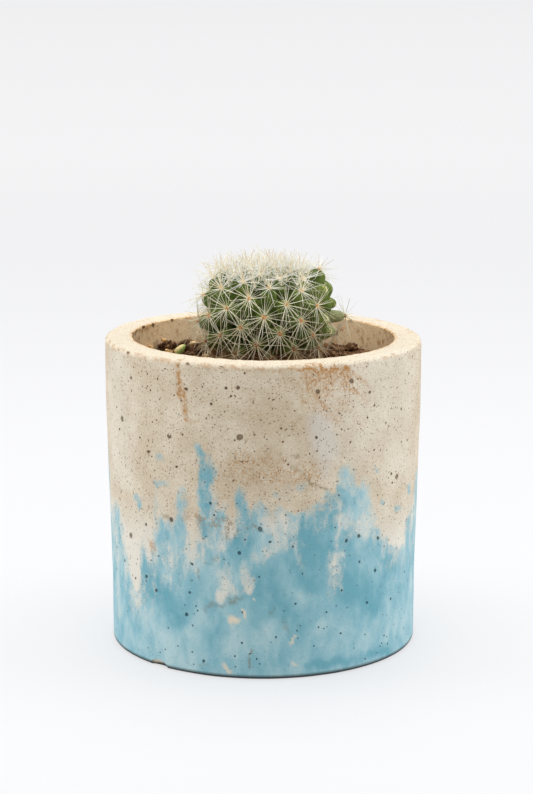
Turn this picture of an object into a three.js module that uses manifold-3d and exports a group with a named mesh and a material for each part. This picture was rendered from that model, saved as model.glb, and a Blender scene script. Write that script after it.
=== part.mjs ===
// A short globe cactus with star-shaped spine clusters, standing in potting mix in a cast-concrete pot.
// Millimetres, +Z up. The origin is the centre of the pot's underside, and -Y is the front.
import * as THREE from "three";
import { mergeVertices } from "three/addons/utils/BufferGeometryUtils.js";
import Module from "manifold-3d";

const wasm = await Module();
wasm.setup();

// The gap left between pieces that touch in the real object.
const SEAT_GAP = 0.3;

// Pot: a straight band under the rim, a slight taper, and a straight foot.
const POT_HEIGHT = 97.7;
const RIM_RADIUS = 50;
const FOOT_RADIUS = 48.6;
const BAND_FOOT_Z = 78;
const TAPER_FOOT_Z = 22;
const WALL = 8.6;
const FLOOR = 10;
const INSIDE_DRAFT = 1.6;
const LIP_ROUNDING = 1.6;
const INNER_LIP_ROUNDING = 0.5;
const FOOT_CHAMFER = 0.7;
const DRAIN_RADIUS = 4.5;
const POT_SIDES = 64;

// Soil
const SOIL_LEVEL = 88.5;
const SOIL_SIDES = 48;
const CRUMB_COUNT = 58;
const CRUMB_RADIUS = [0.9, 1.9];
const CRUMB_RING = [25.5, 39];
const CRUMB_ROUGHNESS = 0.45;
const CRUMB_FLATTENING = 0.85;
const CRUMB_RAISE = 0.35;
// The larger crumbs, at the back, as [x, y, radius].
const CLODS = [
  [-31.4, 21.3, 2.8],
  [-25.0, 20.8, 2.9],
  [-20.9, 16.0, 2.5],
  [28.5, 20.5, 2.0],
];

// Loose chips of bark and grit, as [x, y, length, yaw in degrees, thickness]; two lie on clods.
const CHIPS = [
  [-30.6, 15.4, 3.0, 5, 2.0],
  [-36.6, 16.4, 2.6, 40, 3.0],
  [-32.5, 21.8, 2.8, 20, 1.2],
  [-22.8, 18.7, 2.8, 150, 1.5],
  [-18.6, 8.3, 2.8, 60, 1.6],
  [16.5, 30.4, 3.0, 60, 1.5],
  [34.2, 8.5, 2.6, 100, 1.5],
  [26.8, -22.4, 3.4, 35, 1.5],
  [-24.2, -24.6, 3.4, 80, 1.5],
];
const CHIP_SLENDERNESS = 0.66;
const CHIP_ROUGHNESS = 0.3;

// A tubercle that came off the plant and stands askew on the soil.
const SHED_TUBERCLE = { x: -26.8, y: 13.5, length: 4.2, radius: 1.15, yaw: 8, pitch: 44 };
const SHED_SIDES = 10;

// How loose pieces are lowered onto the soil
const DROP_HEIGHT = 6;
const DROP_STEPS = 12;

// Cactus: the tips of its tubercles lie on a flat-topped barrel, each with an equal share of its surface.
const BARREL_RADIUS = 20.94;
const BARREL_HALF_HEIGHT = 13.64;
const BARREL_CENTRE_Z = 105.43;
const BARREL_POWER = 3.6;
const BARREL_END = 0.8 * Math.PI;
const AREOLE_SHARE = 55.1;
const FIRST_SHARE = -1.448;
const DIVERGENCE = THREE.MathUtils.degToRad(137.45);
const FIRST_AZIMUTH = 1.656;
const PLANT_X = -0.25;
const PLANT_Y = -1.7;
const LEAN_FORWARD = 0.0815;
const LEAN_RIGHT = 0.0074;
const LEAN_PIVOT_Z = 88;
const STEM_RADIUS = 13;
const STEM_FOOT_Z = 79;
const CORE_INSET = 5.4;
const CORE_SIDES = 18;
const CORE_STEPS = 5;
const UPWARD_SWEEP = 0.28;
const LOWEST_SLOPE = -0.25;

// Tubercles and their spines
const TUBERCLE_SIDES = 6;
const TUBERCLE_BASE_RADIUS = 3.9;
const TUBERCLE_TIP_RADIUS = 1.9;
const TUBERCLE_TIP_ROUNDING = 0.8;
const TUBERCLE_LENGTH = 8;
const AREOLE_RADIUS = 0.62;
const AREOLE_RISE = 0.25;
const RADIAL_LENGTH = 6.5;
const RADIAL_LIFT = [0.22, 0.44];
const CENTRAL_LENGTH_TOP = 6.2;
const CENTRAL_LENGTH_SIDE = 2.2;
const CENTRAL_LIFT = [1.1, 1.6];
const LENGTH_SPREAD = [0.85, 1.15];
// The areole, counted from the apex, from which the upright spines are short.
const OLD_FROM = 40;
const SPINE_CLEARANCE = 3.6;

// The right flank: tubercles rubbed bare of spines, and a few drawn out long below them.
const FLANK_FROM = THREE.MathUtils.degToRad(-27);
const FLANK_TO = THREE.MathUtils.degToRad(32);
const FLANK_TOP_Z = 114.5;
const BARE_EXTRA = 1.5;
const LONG_FROM = THREE.MathUtils.degToRad(5);
const LONG_TOP_Z = 105;
const LONG_EXTRA = 5.6;
const LONG_GIRTH = 0.86;
// Tubercles that grew unlike their neighbours, by their order from the apex.
const GROWN = {
  19: { extra: 2.4, sweep: 0.8, girth: 1.25 },
  23: { extra: -4, sweep: 0.28 },
  31: { extra: -3.4, sweep: 0.28 },
  32: { extra: 2.3, sweep: 1.1, girth: 1.3 },
  36: { extra: -4.3, sweep: 0.28 },
  39: { extra: -1.4, sweep: 0.28 },
  40: { extra: 0.6, sweep: 0.85 },
  44: { extra: -4, sweep: 0.28 },
  45: { extra: 6.4, sweep: -0.3, girth: 0.86 },
  52: { extra: -2, sweep: 0.28 },
  57: { extra: -4.1, sweep: 0.28 },
  61: { extra: 1.7, sweep: 0.5, girth: 0.78 },
  65: { extra: -3, sweep: 0.28 },
  70: { extra: -2.6, sweep: 0.28 },
};

const COLOURS = {
  concrete: 0xcfc6b2,
  soil: 0x4a352a,
  flesh: 0x6f8f4e,
  shed: 0x8fb46a,
  chip: 0xd9ad6c,
};

// A repeatable stream of numbers from 0 to 1.
function seededRandom(seed) {
  let state = seed;
  return () => {
    state = (state + 0x6d2b79f5) | 0;
    let mixed = Math.imul(state ^ (state >>> 15), 1 | state);
    mixed = (mixed + Math.imul(mixed ^ (mixed >>> 7), 61 | mixed)) ^ mixed;
    return ((mixed ^ (mixed >>> 14)) >>> 0) / 4294967296;
  };
}

function between(random, [low, high]) {
  return low + (high - low) * random();
}

// A closed three.js geometry as a solid that can be joined and cut.
function solidFrom(geometry) {
  const bare = geometry.clone();
  bare.deleteAttribute("normal");
  bare.deleteAttribute("uv");
  const merged = mergeVertices(bare, 1e-4);
  return new wasm.Manifold(
    new wasm.Mesh({
      numProp: 3,
      vertProperties: new Float32Array(merged.attributes.position.array),
      triVerts: new Uint32Array(merged.index.array),
    }),
  );
}

function geometryFrom(solid) {
  const { vertProperties, triVerts, numProp } = solid.getMesh();
  const positions = new Float32Array((vertProperties.length / numProp) * 3);
  for (let i = 0; i < positions.length / 3; i += 1) {
    positions.set(vertProperties.subarray(i * numProp, i * numProp + 3), i * 3);
  }
  const geometry = new THREE.BufferGeometry();
  geometry.setAttribute("position", new THREE.BufferAttribute(positions, 3));
  geometry.setIndex(new THREE.BufferAttribute(new Uint32Array(triVerts), 1));
  geometry.computeVertexNormals();
  return geometry;
}

// The largest body of a solid, without any scrap that a join leaves loose.
function largestBody(solid) {
  return solid.decompose().sort((a, b) => b.volume() - a.volume())[0];
}

function meshOf(name, geometry, colour, roughness) {
  const material = new THREE.MeshStandardMaterial({ color: colour, roughness, metalness: 0 });
  const mesh = new THREE.Mesh(geometry, material);
  mesh.name = name;
  return mesh;
}

// A profile of [radius, height] pairs turned about the upright axis.
function turned(profile, sides) {
  const points = profile.map(([radius, height]) => new THREE.Vector2(radius, height));
  return new THREE.LatheGeometry(points, sides).rotateX(Math.PI / 2);
}

// Points on a quarter circle about a centre, from one angle in degrees to another.
function quarterRound(centreRadius, centreHeight, rounding, from, to, steps = 3) {
  return Array.from({ length: steps + 1 }, (_, i) => {
    const angle = THREE.MathUtils.degToRad(from + ((to - from) * i) / steps);
    return [
      centreRadius + rounding * Math.cos(angle),
      centreHeight + rounding * Math.sin(angle),
    ];
  });
}

// Inside radius of the pot at a height: the mould's core narrows towards the floor.
function insideRadius(height) {
  return RIM_RADIUS - WALL - (INSIDE_DRAFT * (POT_HEIGHT - height)) / (POT_HEIGHT - FLOOR);
}

function makePot() {
  const innerRim = insideRadius(POT_HEIGHT) + INNER_LIP_ROUNDING;
  const profile = [
    [DRAIN_RADIUS, 0],
    [FOOT_RADIUS - FOOT_CHAMFER, 0],
    [FOOT_RADIUS, FOOT_CHAMFER],
    [FOOT_RADIUS, TAPER_FOOT_Z],
    [RIM_RADIUS, BAND_FOOT_Z],
    ...quarterRound(RIM_RADIUS - LIP_ROUNDING, POT_HEIGHT - LIP_ROUNDING, LIP_ROUNDING, 0, 90),
    ...quarterRound(innerRim, POT_HEIGHT - INNER_LIP_ROUNDING, INNER_LIP_ROUNDING, 90, 180),
    [insideRadius(FLOOR), FLOOR],
    [DRAIN_RADIUS, FLOOR],
    [DRAIN_RADIUS, 0],
  ];
  return meshOf("pot", turned(profile, POT_SIDES), COLOURS.concrete, 0.85);
}

// A rough lump: a polyhedron whose corners are drawn in and out.
function lump(random, radius, roughness) {
  const geometry = mergeVertices(bareIcosahedron(radius), 1e-4);
  const position = geometry.attributes.position;
  for (let i = 0; i < position.count; i += 1) {
    const corner = new THREE.Vector3().fromBufferAttribute(position, i);
    corner.multiplyScalar(1 + roughness * (random() - 0.5));
    position.setXYZ(i, ...corner);
  }
  return geometry;
}

function bareIcosahedron(radius) {
  const geometry = new THREE.IcosahedronGeometry(radius, 0);
  geometry.deleteAttribute("normal");
  geometry.deleteAttribute("uv");
  return geometry;
}

// Whether a crumb keeps clear of the chips and the shed tubercle.
function clearOfLooseBits(x, y, radius) {
  const reach = radius * (1 + CRUMB_ROUGHNESS / 2) + 2 * SEAT_GAP;
  const bits = [...CHIPS, [SHED_TUBERCLE.x, SHED_TUBERCLE.y, SHED_TUBERCLE.length]];
  return bits.every(([bitX, bitY, length]) => Math.hypot(x - bitX, y - bitY) > reach + length / 2);
}

function crumbs() {
  const random = seededRandom(11);
  const found = CLODS.map(([x, y, radius]) => ({ x, y, radius }));
  while (found.length < CRUMB_COUNT) {
    const radius = between(random, CRUMB_RADIUS);
    const reach = between(random, CRUMB_RING);
    const azimuth = random() * 2 * Math.PI;
    const x = reach * Math.cos(azimuth);
    const y = reach * Math.sin(azimuth);
    if (clearOfLooseBits(x, y, radius)) found.push({ x, y, radius });
  }
  return found.map(({ x, y, radius }) => {
    const crumb = lump(random, radius, CRUMB_ROUGHNESS).scale(1, 1, CRUMB_FLATTENING);
    return solidFrom(crumb.translate(x, y, SOIL_LEVEL + radius * CRUMB_RAISE));
  });
}

function makeSoil() {
  const floorZ = FLOOR + SEAT_GAP;
  const profile = [
    [0, floorZ],
    [insideRadius(FLOOR) - SEAT_GAP, floorZ],
    [insideRadius(SOIL_LEVEL) - SEAT_GAP, SOIL_LEVEL],
    [0, SOIL_LEVEL],
  ];
  const depth = SOIL_LEVEL - STEM_FOOT_Z;
  const holeRadius = STEM_RADIUS + SEAT_GAP;
  const hole = new THREE.CylinderGeometry(holeRadius, holeRadius, 2 * depth, CORE_SIDES)
    .rotateX(Math.PI / 2)
    .translate(PLANT_X, PLANT_Y, SOIL_LEVEL - SEAT_GAP);
  const filled = wasm.Manifold.union([solidFrom(turned(profile, SOIL_SIDES)), ...crumbs()]);
  const soil = filled.subtract(solidFrom(hole));
  return meshOf("soil", geometryFrom(largestBody(soil)), COLOURS.soil, 1);
}

// Lowers a piece onto the soil until only the seat gap is left, and returns it in its place.
function settled(piece, x, y, soil) {
  piece.computeBoundingBox();
  piece.translate(x, y, SOIL_LEVEL + SEAT_GAP - piece.boundingBox.min.z);
  const solid = solidFrom(piece);
  let [touching, clear] = [0, DROP_HEIGHT];
  if (solid.minGap(soil, DROP_HEIGHT) >= SEAT_GAP * 0.99) return piece;
  for (let i = 0; i < DROP_STEPS; i += 1) {
    const middle = (touching + clear) / 2;
    const gap = solid.translate([0, 0, middle]).minGap(soil, DROP_HEIGHT);
    if (gap < SEAT_GAP) touching = middle;
    else clear = middle;
  }
  return piece.translate(0, 0, clear);
}

function makeChips(soil) {
  const random = seededRandom(5);
  return CHIPS.map(([x, y, length, yaw, thickness], index) => {
    const chip = lump(random, length / 2, CHIP_ROUGHNESS);
    chip.scale(1, CHIP_SLENDERNESS, thickness / length);
    chip.rotateZ(THREE.MathUtils.degToRad(yaw));
    return meshOf(`chip_${index + 1}`, settled(chip, x, y, soil), COLOURS.chip, 0.9);
  });
}

function makeShedTubercle(soil) {
  const { x, y, length, radius, yaw, pitch } = SHED_TUBERCLE;
  const profile = [
    [0, -length / 2],
    [radius * 0.55, -length * 0.46],
    [radius * 0.95, -length * 0.22],
    [radius, length * 0.1],
    [radius * 0.7, length * 0.36],
    [0, length / 2],
  ];
  const body = turned(profile, SHED_SIDES)
    .rotateY(THREE.MathUtils.degToRad(90 - pitch))
    .rotateZ(THREE.MathUtils.degToRad(yaw));
  return meshOf("shed_tubercle", settled(body, x, y, soil), COLOURS.shed, 0.6);
}

// The barrel's outline for a parameter that runs from 0 at the apex down to BARREL_END.
function barrelPoint(parameter) {
  const bulge = (value) => Math.sign(value) * Math.abs(value) ** (2 / BARREL_POWER);
  return {
    radius: BARREL_RADIUS * bulge(Math.sin(parameter)),
    height: BARREL_CENTRE_Z + BARREL_HALF_HEIGHT * bulge(Math.cos(parameter)),
  };
}

// The barrel's outline with the surface area passed since the apex.
function barrelTable(steps = 400) {
  const rows = [{ ...barrelPoint(0), area: 0 }];
  for (let i = 1; i <= steps; i += 1) {
    const previous = rows[i - 1];
    const point = barrelPoint((BARREL_END * i) / steps);
    const run = Math.hypot(point.radius - previous.radius, point.height - previous.height);
    rows.push({ ...point, area: previous.area + Math.PI * run * (point.radius + previous.radius) });
  }
  return rows;
}

// A direction turned by the plant's lean.
function leaned(vector) {
  vector.applyAxisAngle(new THREE.Vector3(0, 1, 0), -LEAN_RIGHT);
  return vector.applyAxisAngle(new THREE.Vector3(1, 0, 0), LEAN_FORWARD);
}

// A point of the upright plant, leaned about a point at the soil and moved to the plant's place.
function placed(point) {
  const pivot = new THREE.Vector3(0, 0, LEAN_PIVOT_Z);
  return leaned(point.sub(pivot)).add(pivot).add(new THREE.Vector3(PLANT_X, PLANT_Y, 0));
}

// Where each areole sits, from the apex outwards, in one spiral at the divergence angle.
function areoles() {
  const rows = barrelTable();
  const found = [];
  for (let n = 1; ; n += 1) {
    const area = Math.max(0, (n + FIRST_SHARE) * AREOLE_SHARE);
    const next = rows.findIndex((row) => row.area > area);
    if (next < 0) return found;
    const [above, below] = [rows[next - 1], rows[next]];
    const share = (area - above.area) / (below.area - above.area);
    const radius = THREE.MathUtils.lerp(above.radius, below.radius, share);
    const height = THREE.MathUtils.lerp(above.height, below.height, share);
    const azimuth = FIRST_AZIMUTH - n * DIVERGENCE;
    const [cos, sin] = [Math.cos(azimuth), Math.sin(azimuth)];
    const outward = above.height - below.height;
    const upward = below.radius - above.radius;
    const normal = new THREE.Vector3(cos * outward, sin * outward, upward).normalize();
    found.push({
      order: n,
      tip: placed(new THREE.Vector3(radius * cos, radius * sin, height)),
      normal: leaned(normal),
      azimuth: Math.atan2(sin, cos),
    });
  }
}

// What the right flank does to a tubercle: extra length, upward sweep, girth, and whether it is bare.
function flank({ tip, azimuth }) {
  const outside = azimuth < FLANK_FROM || azimuth > FLANK_TO || tip.z > FLANK_TOP_Z;
  if (outside) return { extra: 0, sweep: UPWARD_SWEEP, girth: 1, bare: false };
  const isLong = azimuth > LONG_FROM && tip.z < LONG_TOP_Z;
  if (isLong) return { extra: LONG_EXTRA, sweep: 0, girth: LONG_GIRTH, bare: false };
  return { extra: BARE_EXTRA, sweep: UPWARD_SWEEP, girth: 1, bare: true };
}

// How a tubercle grew: as its place on the plant says, unless it is one of the odd ones.
function growth(areole) {
  return { ...flank(areole), ...GROWN[areole.order] };
}

// A geometry made along +Y, turned to a direction and moved to a place.
function aimed(geometry, direction, place) {
  const turn = new THREE.Quaternion().setFromUnitVectors(new THREE.Vector3(0, 1, 0), direction);
  return geometry.applyQuaternion(turn).translate(place.x, place.y, place.z);
}

// A cone with a rounded end, from inside the core out to its areole.
function tubercle(tip, direction, length, girth) {
  const profile = [
    [0, -length],
    [TUBERCLE_BASE_RADIUS, -length],
    [TUBERCLE_TIP_RADIUS, -TUBERCLE_TIP_ROUNDING],
    [0, 0],
  ];
  const points = profile.map(([radius, height]) => new THREE.Vector2(girth * radius, height));
  return aimed(new THREE.LatheGeometry(points, TUBERCLE_SIDES), direction, tip);
}

// The small polyhedron at an areole, with one corner along its direction.
function areoleHub(centre, direction, random) {
  const hub = bareIcosahedron(AREOLE_RADIUS);
  const corner = new THREE.Vector3().fromBufferAttribute(hub.attributes.position, 0).normalize();
  hub.applyQuaternion(new THREE.Quaternion().setFromUnitVectors(corner, new THREE.Vector3(0, 1, 0)));
  return aimed(hub.rotateY(random() * 2 * Math.PI), direction, centre);
}

// The point of the spine that stands on a face of the hub: upright near the middle, flat at the sides.
function spinePoint(order, centre, direction, outward, random) {
  const rise = outward.dot(direction);
  const isCentral = rise > 0.5;
  const flat = outward.clone().addScaledVector(direction, -rise).normalize();
  const lift = between(random, isCentral ? CENTRAL_LIFT : RADIAL_LIFT);
  const heading = flat.addScaledVector(direction, lift).normalize();
  const age = Math.min(1, order / OLD_FROM);
  const central = THREE.MathUtils.lerp(CENTRAL_LENGTH_TOP, CENTRAL_LENGTH_SIDE, age);
  const length = (isCentral ? central : RADIAL_LENGTH) * between(random, LENGTH_SPREAD);
  const point = centre.clone().addScaledVector(heading, length);
  point.z = Math.max(point.z, SOIL_LEVEL + SPINE_CLEARANCE);
  return point;
}

// An areole with its spines: the hub's outward faces are drawn out to points.
function spineCluster(order, centre, direction, random) {
  const corners = areoleHub(centre, direction, random).attributes.position;
  const positions = [];
  for (let face = 0; face < corners.count; face += 3) {
    const [a, b, c] = [0, 1, 2].map((i) => new THREE.Vector3().fromBufferAttribute(corners, face + i));
    const outward = new THREE.Vector3().add(a).add(b).add(c).divideScalar(3).sub(centre).normalize();
    if (outward.dot(direction) < -0.5) {
      positions.push(...a, ...b, ...c);
      continue;
    }
    const point = spinePoint(order, centre, direction, outward, random);
    positions.push(...a, ...b, ...point, ...b, ...c, ...point, ...c, ...a, ...point);
  }
  const cluster = new THREE.BufferGeometry();
  cluster.setAttribute("position", new THREE.BufferAttribute(new Float32Array(positions), 3));
  return cluster;
}

// The fleshy core that the tubercles grow from, with the corky stem below it.
function core() {
  const shrink = (BARREL_RADIUS - CORE_INSET) / BARREL_RADIUS;
  const drop = (BARREL_HALF_HEIGHT - CORE_INSET) / BARREL_HALF_HEIGHT;
  const dome = Array.from({ length: CORE_STEPS }, (_, i) => {
    const { radius, height } = barrelPoint((Math.PI / 2) * (1 - i / CORE_STEPS));
    return [radius * shrink, BARREL_CENTRE_Z + (height - BARREL_CENTRE_Z) * drop];
  });
  const profile = [
    [0, STEM_FOOT_Z],
    [STEM_RADIUS, STEM_FOOT_Z],
    [STEM_RADIUS, SOIL_LEVEL + SEAT_GAP],
    ...dome,
    [0, BARREL_CENTRE_Z + BARREL_HALF_HEIGHT - CORE_INSET],
  ];
  return turned(profile, CORE_SIDES).translate(PLANT_X, PLANT_Y, 0);
}

function makeCactus() {
  const random = seededRandom(3);
  const solids = [solidFrom(core())];
  for (const areole of areoles()) {
    const { extra, sweep, girth, bare } = growth(areole);
    const direction = areole.normal.clone();
    direction.z = Math.max(direction.z, LOWEST_SLOPE) + sweep;
    direction.normalize();
    const tip = areole.tip.clone().addScaledVector(direction, extra);
    solids.push(solidFrom(tubercle(tip, direction, TUBERCLE_LENGTH + extra, girth)));
    if (bare) continue;
    const centre = tip.clone().addScaledVector(direction, AREOLE_RISE);
    solids.push(solidFrom(spineCluster(areole.order, centre, direction, random)));
  }
  const plant = largestBody(wasm.Manifold.union(solids));
  return meshOf("cactus", geometryFrom(plant), COLOURS.flesh, 0.7);
}

const pottedCactus = new THREE.Group();
const soil = makeSoil();
const soilSolid = solidFrom(soil.geometry);
pottedCactus.add(makePot(), soil, makeCactus(), makeShedTubercle(soilSolid), ...makeChips(soilSolid));

export default pottedCactus;
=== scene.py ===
"""A potted old lady cactus: a short, flat-topped globe cactus in a hand-cast concrete pot.

Metres, +Z up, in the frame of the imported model. -Y is the side that faces the camera.
"""
import logging
import math
import random
from collections.abc import Callable, Iterable, Sequence
from dataclasses import dataclass, field
from enum import Enum

import bmesh
import bpy
import numpy as np
from mathutils import Matrix, Quaternion, Vector
from mathutils import noise as hills


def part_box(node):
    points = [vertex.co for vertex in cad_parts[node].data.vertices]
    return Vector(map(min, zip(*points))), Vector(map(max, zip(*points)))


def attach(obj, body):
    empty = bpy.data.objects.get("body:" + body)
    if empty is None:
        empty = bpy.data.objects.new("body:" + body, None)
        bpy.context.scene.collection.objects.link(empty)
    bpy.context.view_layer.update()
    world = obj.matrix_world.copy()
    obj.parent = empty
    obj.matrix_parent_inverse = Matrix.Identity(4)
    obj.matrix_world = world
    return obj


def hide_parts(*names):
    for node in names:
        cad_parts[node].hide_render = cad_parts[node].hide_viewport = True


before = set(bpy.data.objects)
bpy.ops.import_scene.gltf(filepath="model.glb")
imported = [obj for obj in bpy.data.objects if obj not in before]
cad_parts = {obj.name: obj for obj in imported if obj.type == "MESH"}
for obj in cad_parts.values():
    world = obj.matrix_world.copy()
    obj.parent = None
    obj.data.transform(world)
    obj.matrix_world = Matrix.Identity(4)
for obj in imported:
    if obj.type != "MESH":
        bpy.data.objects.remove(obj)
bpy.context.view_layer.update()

log = logging.getLogger("potted_cactus")

MM = 0.001
BODY = "root"
UP = Vector((0, 0, 1))
FULL_TURN = 2 * math.pi
GOLDEN_ANGLE = math.radians(137.45)
Pair = tuple[float, float]
Triple = tuple[float, float, float]
Piece = bpy.types.Object
Socket = bpy.types.NodeSocket
Colour = Triple


# Modelling helpers


def select_only(*pieces: Piece) -> None:
    """Selects these pieces alone, with the first one active.

    Args:
        pieces: What the next operator acts on.
    """
    bpy.ops.object.select_all(action="DESELECT")
    for piece in pieces:
        piece.select_set(True)
    bpy.context.view_layer.objects.active = pieces[0]


def take(name: str) -> Piece:
    """Names the piece that an operator has just added.

    Args:
        name: The piece's name.

    Returns:
        The active object.
    """
    piece = bpy.context.object
    piece.name = name
    piece.data.name = name
    return piece


class Editing:
    """Edit mode on one piece, with its elements selected in code by their place or normal."""

    def __init__(self, piece: Piece) -> None:
        """Notes the piece that is edited."""
        self.piece = piece

    def __enter__(self) -> "Editing":
        """Opens edit mode with nothing selected.

        Returns:
            This editing session.
        """
        select_only(self.piece)
        bpy.ops.object.mode_set(mode="EDIT")
        bpy.ops.mesh.select_mode(type="VERT")
        bpy.ops.mesh.select_all(action="DESELECT")
        return self

    def __exit__(self, *problem: object) -> None:
        """Closes edit mode."""
        bpy.ops.object.mode_set(mode="OBJECT")

    def everything(self) -> None:
        """Selects the whole mesh."""
        bpy.ops.mesh.select_all(action="SELECT")

    def faces(self, wanted: Callable[[Vector, Vector], bool]) -> None:
        """Selects faces.

        Args:
            wanted: Says from a face's middle and normal whether it is selected.
        """
        bpy.ops.mesh.select_mode(type="FACE")
        bpy.ops.mesh.select_all(action="DESELECT")
        sketch = bmesh.from_edit_mesh(self.piece.data)
        for face in sketch.faces:
            face.select_set(wanted(face.calc_center_median(), face.normal))
        bmesh.update_edit_mesh(self.piece.data)

    def points(self, wanted: Callable[[Vector], bool]) -> None:
        """Selects points.

        Args:
            wanted: Says from a point's place whether it is selected.
        """
        bpy.ops.mesh.select_mode(type="VERT")
        bpy.ops.mesh.select_all(action="DESELECT")
        sketch = bmesh.from_edit_mesh(self.piece.data)
        for point in sketch.verts:
            point.select_set(wanted(point.co))
        sketch.select_flush(True)
        bmesh.update_edit_mesh(self.piece.data)


def modify(piece: Piece, kind: str, **settings: object) -> None:
    """Puts a modifier on a piece and applies it.

    Args:
        piece: The piece that is changed.
        kind: Blender's name for the modifier.
        settings: The modifier's values.
    """
    modifier = piece.modifiers.new(kind.title(), kind)
    for name, value in settings.items():
        setattr(modifier, name, value)
    select_only(piece)
    bpy.ops.object.modifier_apply(modifier=modifier.name)


def roughen(piece: Piece, feature: float, height: float, group: str = "") -> None:
    """Moves a surface in and out along its normals by cloud noise.

    Args:
        piece: The piece that is changed.
        feature: Size of one hill.
        height: Height from the lowest dip to the highest hill.
        group: The vertex group that it is held to, if any.
    """
    clouds = bpy.data.textures.new(f"{piece.name}_clouds", "CLOUDS")
    clouds.noise_scale = feature
    clouds.noise_depth = 3
    modify(piece, "DISPLACE", texture=clouds, strength=height, mid_level=0.5, vertex_group=group)


def copied(model: Piece, places: Iterable[Matrix]) -> list[Piece]:
    """Copies a modelled piece to several places.

    Args:
        model: The piece that repeats.
        places: One matrix for each copy.

    Returns:
        The copies, each with its own mesh.
    """
    copies = []
    for place in places:
        copy = model.copy()
        copy.data = model.data.copy()
        copy.data.transform(place)
        bpy.context.collection.objects.link(copy)
        copies.append(copy)
    return copies


def joined(name: str, pieces: Sequence[Piece]) -> Piece:
    """Joins pieces into one.

    Args:
        name: Name of the joined piece.
        pieces: The pieces, which become one object.

    Returns:
        The joined piece.
    """
    select_only(*pieces)
    bpy.ops.object.join()
    return take(name)


def discard(*pieces: Piece) -> None:
    """Deletes models and cutters that have done their work."""
    for piece in pieces:
        bpy.data.objects.remove(piece)


def places_of(piece: Piece) -> np.ndarray:
    """The points of a mesh as rows of x, y and z.

    Args:
        piece: The piece.

    Returns:
        One row for each point.
    """
    rows = np.empty(len(piece.data.vertices) * 3)
    piece.data.vertices.foreach_get("co", rows)
    return rows.reshape(-1, 3)


def move_points(piece: Piece, rows: np.ndarray) -> None:
    """Puts the points of a mesh at the given rows of x, y and z."""
    piece.data.vertices.foreach_set("co", rows.ravel())
    piece.data.update()


def paint(piece: Piece, name: str, values: np.ndarray | float) -> None:
    """Writes a number at each point of a mesh, for a material to read.

    Args:
        piece: The piece that is painted.
        name: The attribute's name.
        values: One number for each point, or one for all.
    """
    mesh = piece.data
    attribute = mesh.attributes.get(name) or mesh.attributes.new(name, "FLOAT", "POINT")
    full = np.broadcast_to(np.asarray(values, np.float32), (len(mesh.vertices),))
    attribute.data.foreach_set("value", np.ascontiguousarray(full))


def smooth(piece: Piece, angle: float = 40) -> None:
    """Shades a piece smooth, with edges sharper than the angle in degrees kept crisp."""
    select_only(piece)
    bpy.ops.object.shade_smooth_by_angle(angle=math.radians(angle))


def step_up(value: np.ndarray, low: float, high: float) -> np.ndarray:
    """A soft step from 0 at low to 1 at high."""
    share = np.clip((value - low) / (high - low), 0, 1)
    return share * share * (3 - 2 * share)


def cloud(rows: np.ndarray, feature: float, seed: float = 0, octaves: int = 3) -> np.ndarray:
    """Cloud noise at each row.

    Args:
        rows: Places, as rows of x, y and z.
        feature: Size of one cloud.
        seed: Moves the clouds along, so that two calls differ.
        octaves: Layers of finer detail.

    Returns:
        A number for each row, mostly between -1 and 1.
    """
    scaled = rows / feature + seed
    return np.array([hills.fractal(Vector(row), 1.0, 2.0, octaves) for row in scaled])


def aimed(place: Vector, direction: Vector, turn: float = 0, size: float = 1) -> Matrix:
    """A matrix that stands a model's +Z along a direction.

    Args:
        place: Where the model's origin goes.
        direction: Where its +Z points.
        turn: Turn about its own +Z, in radians.
        size: Scale.

    Returns:
        The matrix.
    """
    facing = direction.to_track_quat("Z", "Y") @ Quaternion(UP, turn)
    return Matrix.LocRotScale(place, facing, Vector((size, size, size)))


def hand_over(piece: Piece, nodes: Sequence[str] = ()) -> None:
    """Ties a finished piece to the CAD model.

    Args:
        piece: The finished piece.
        nodes: The CAD nodes that it stands for.
    """
    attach(piece, BODY)
    if nodes:
        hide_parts(*nodes)
    log.info("%s: %d points", piece.name, len(piece.data.vertices))


# Finishes


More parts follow.
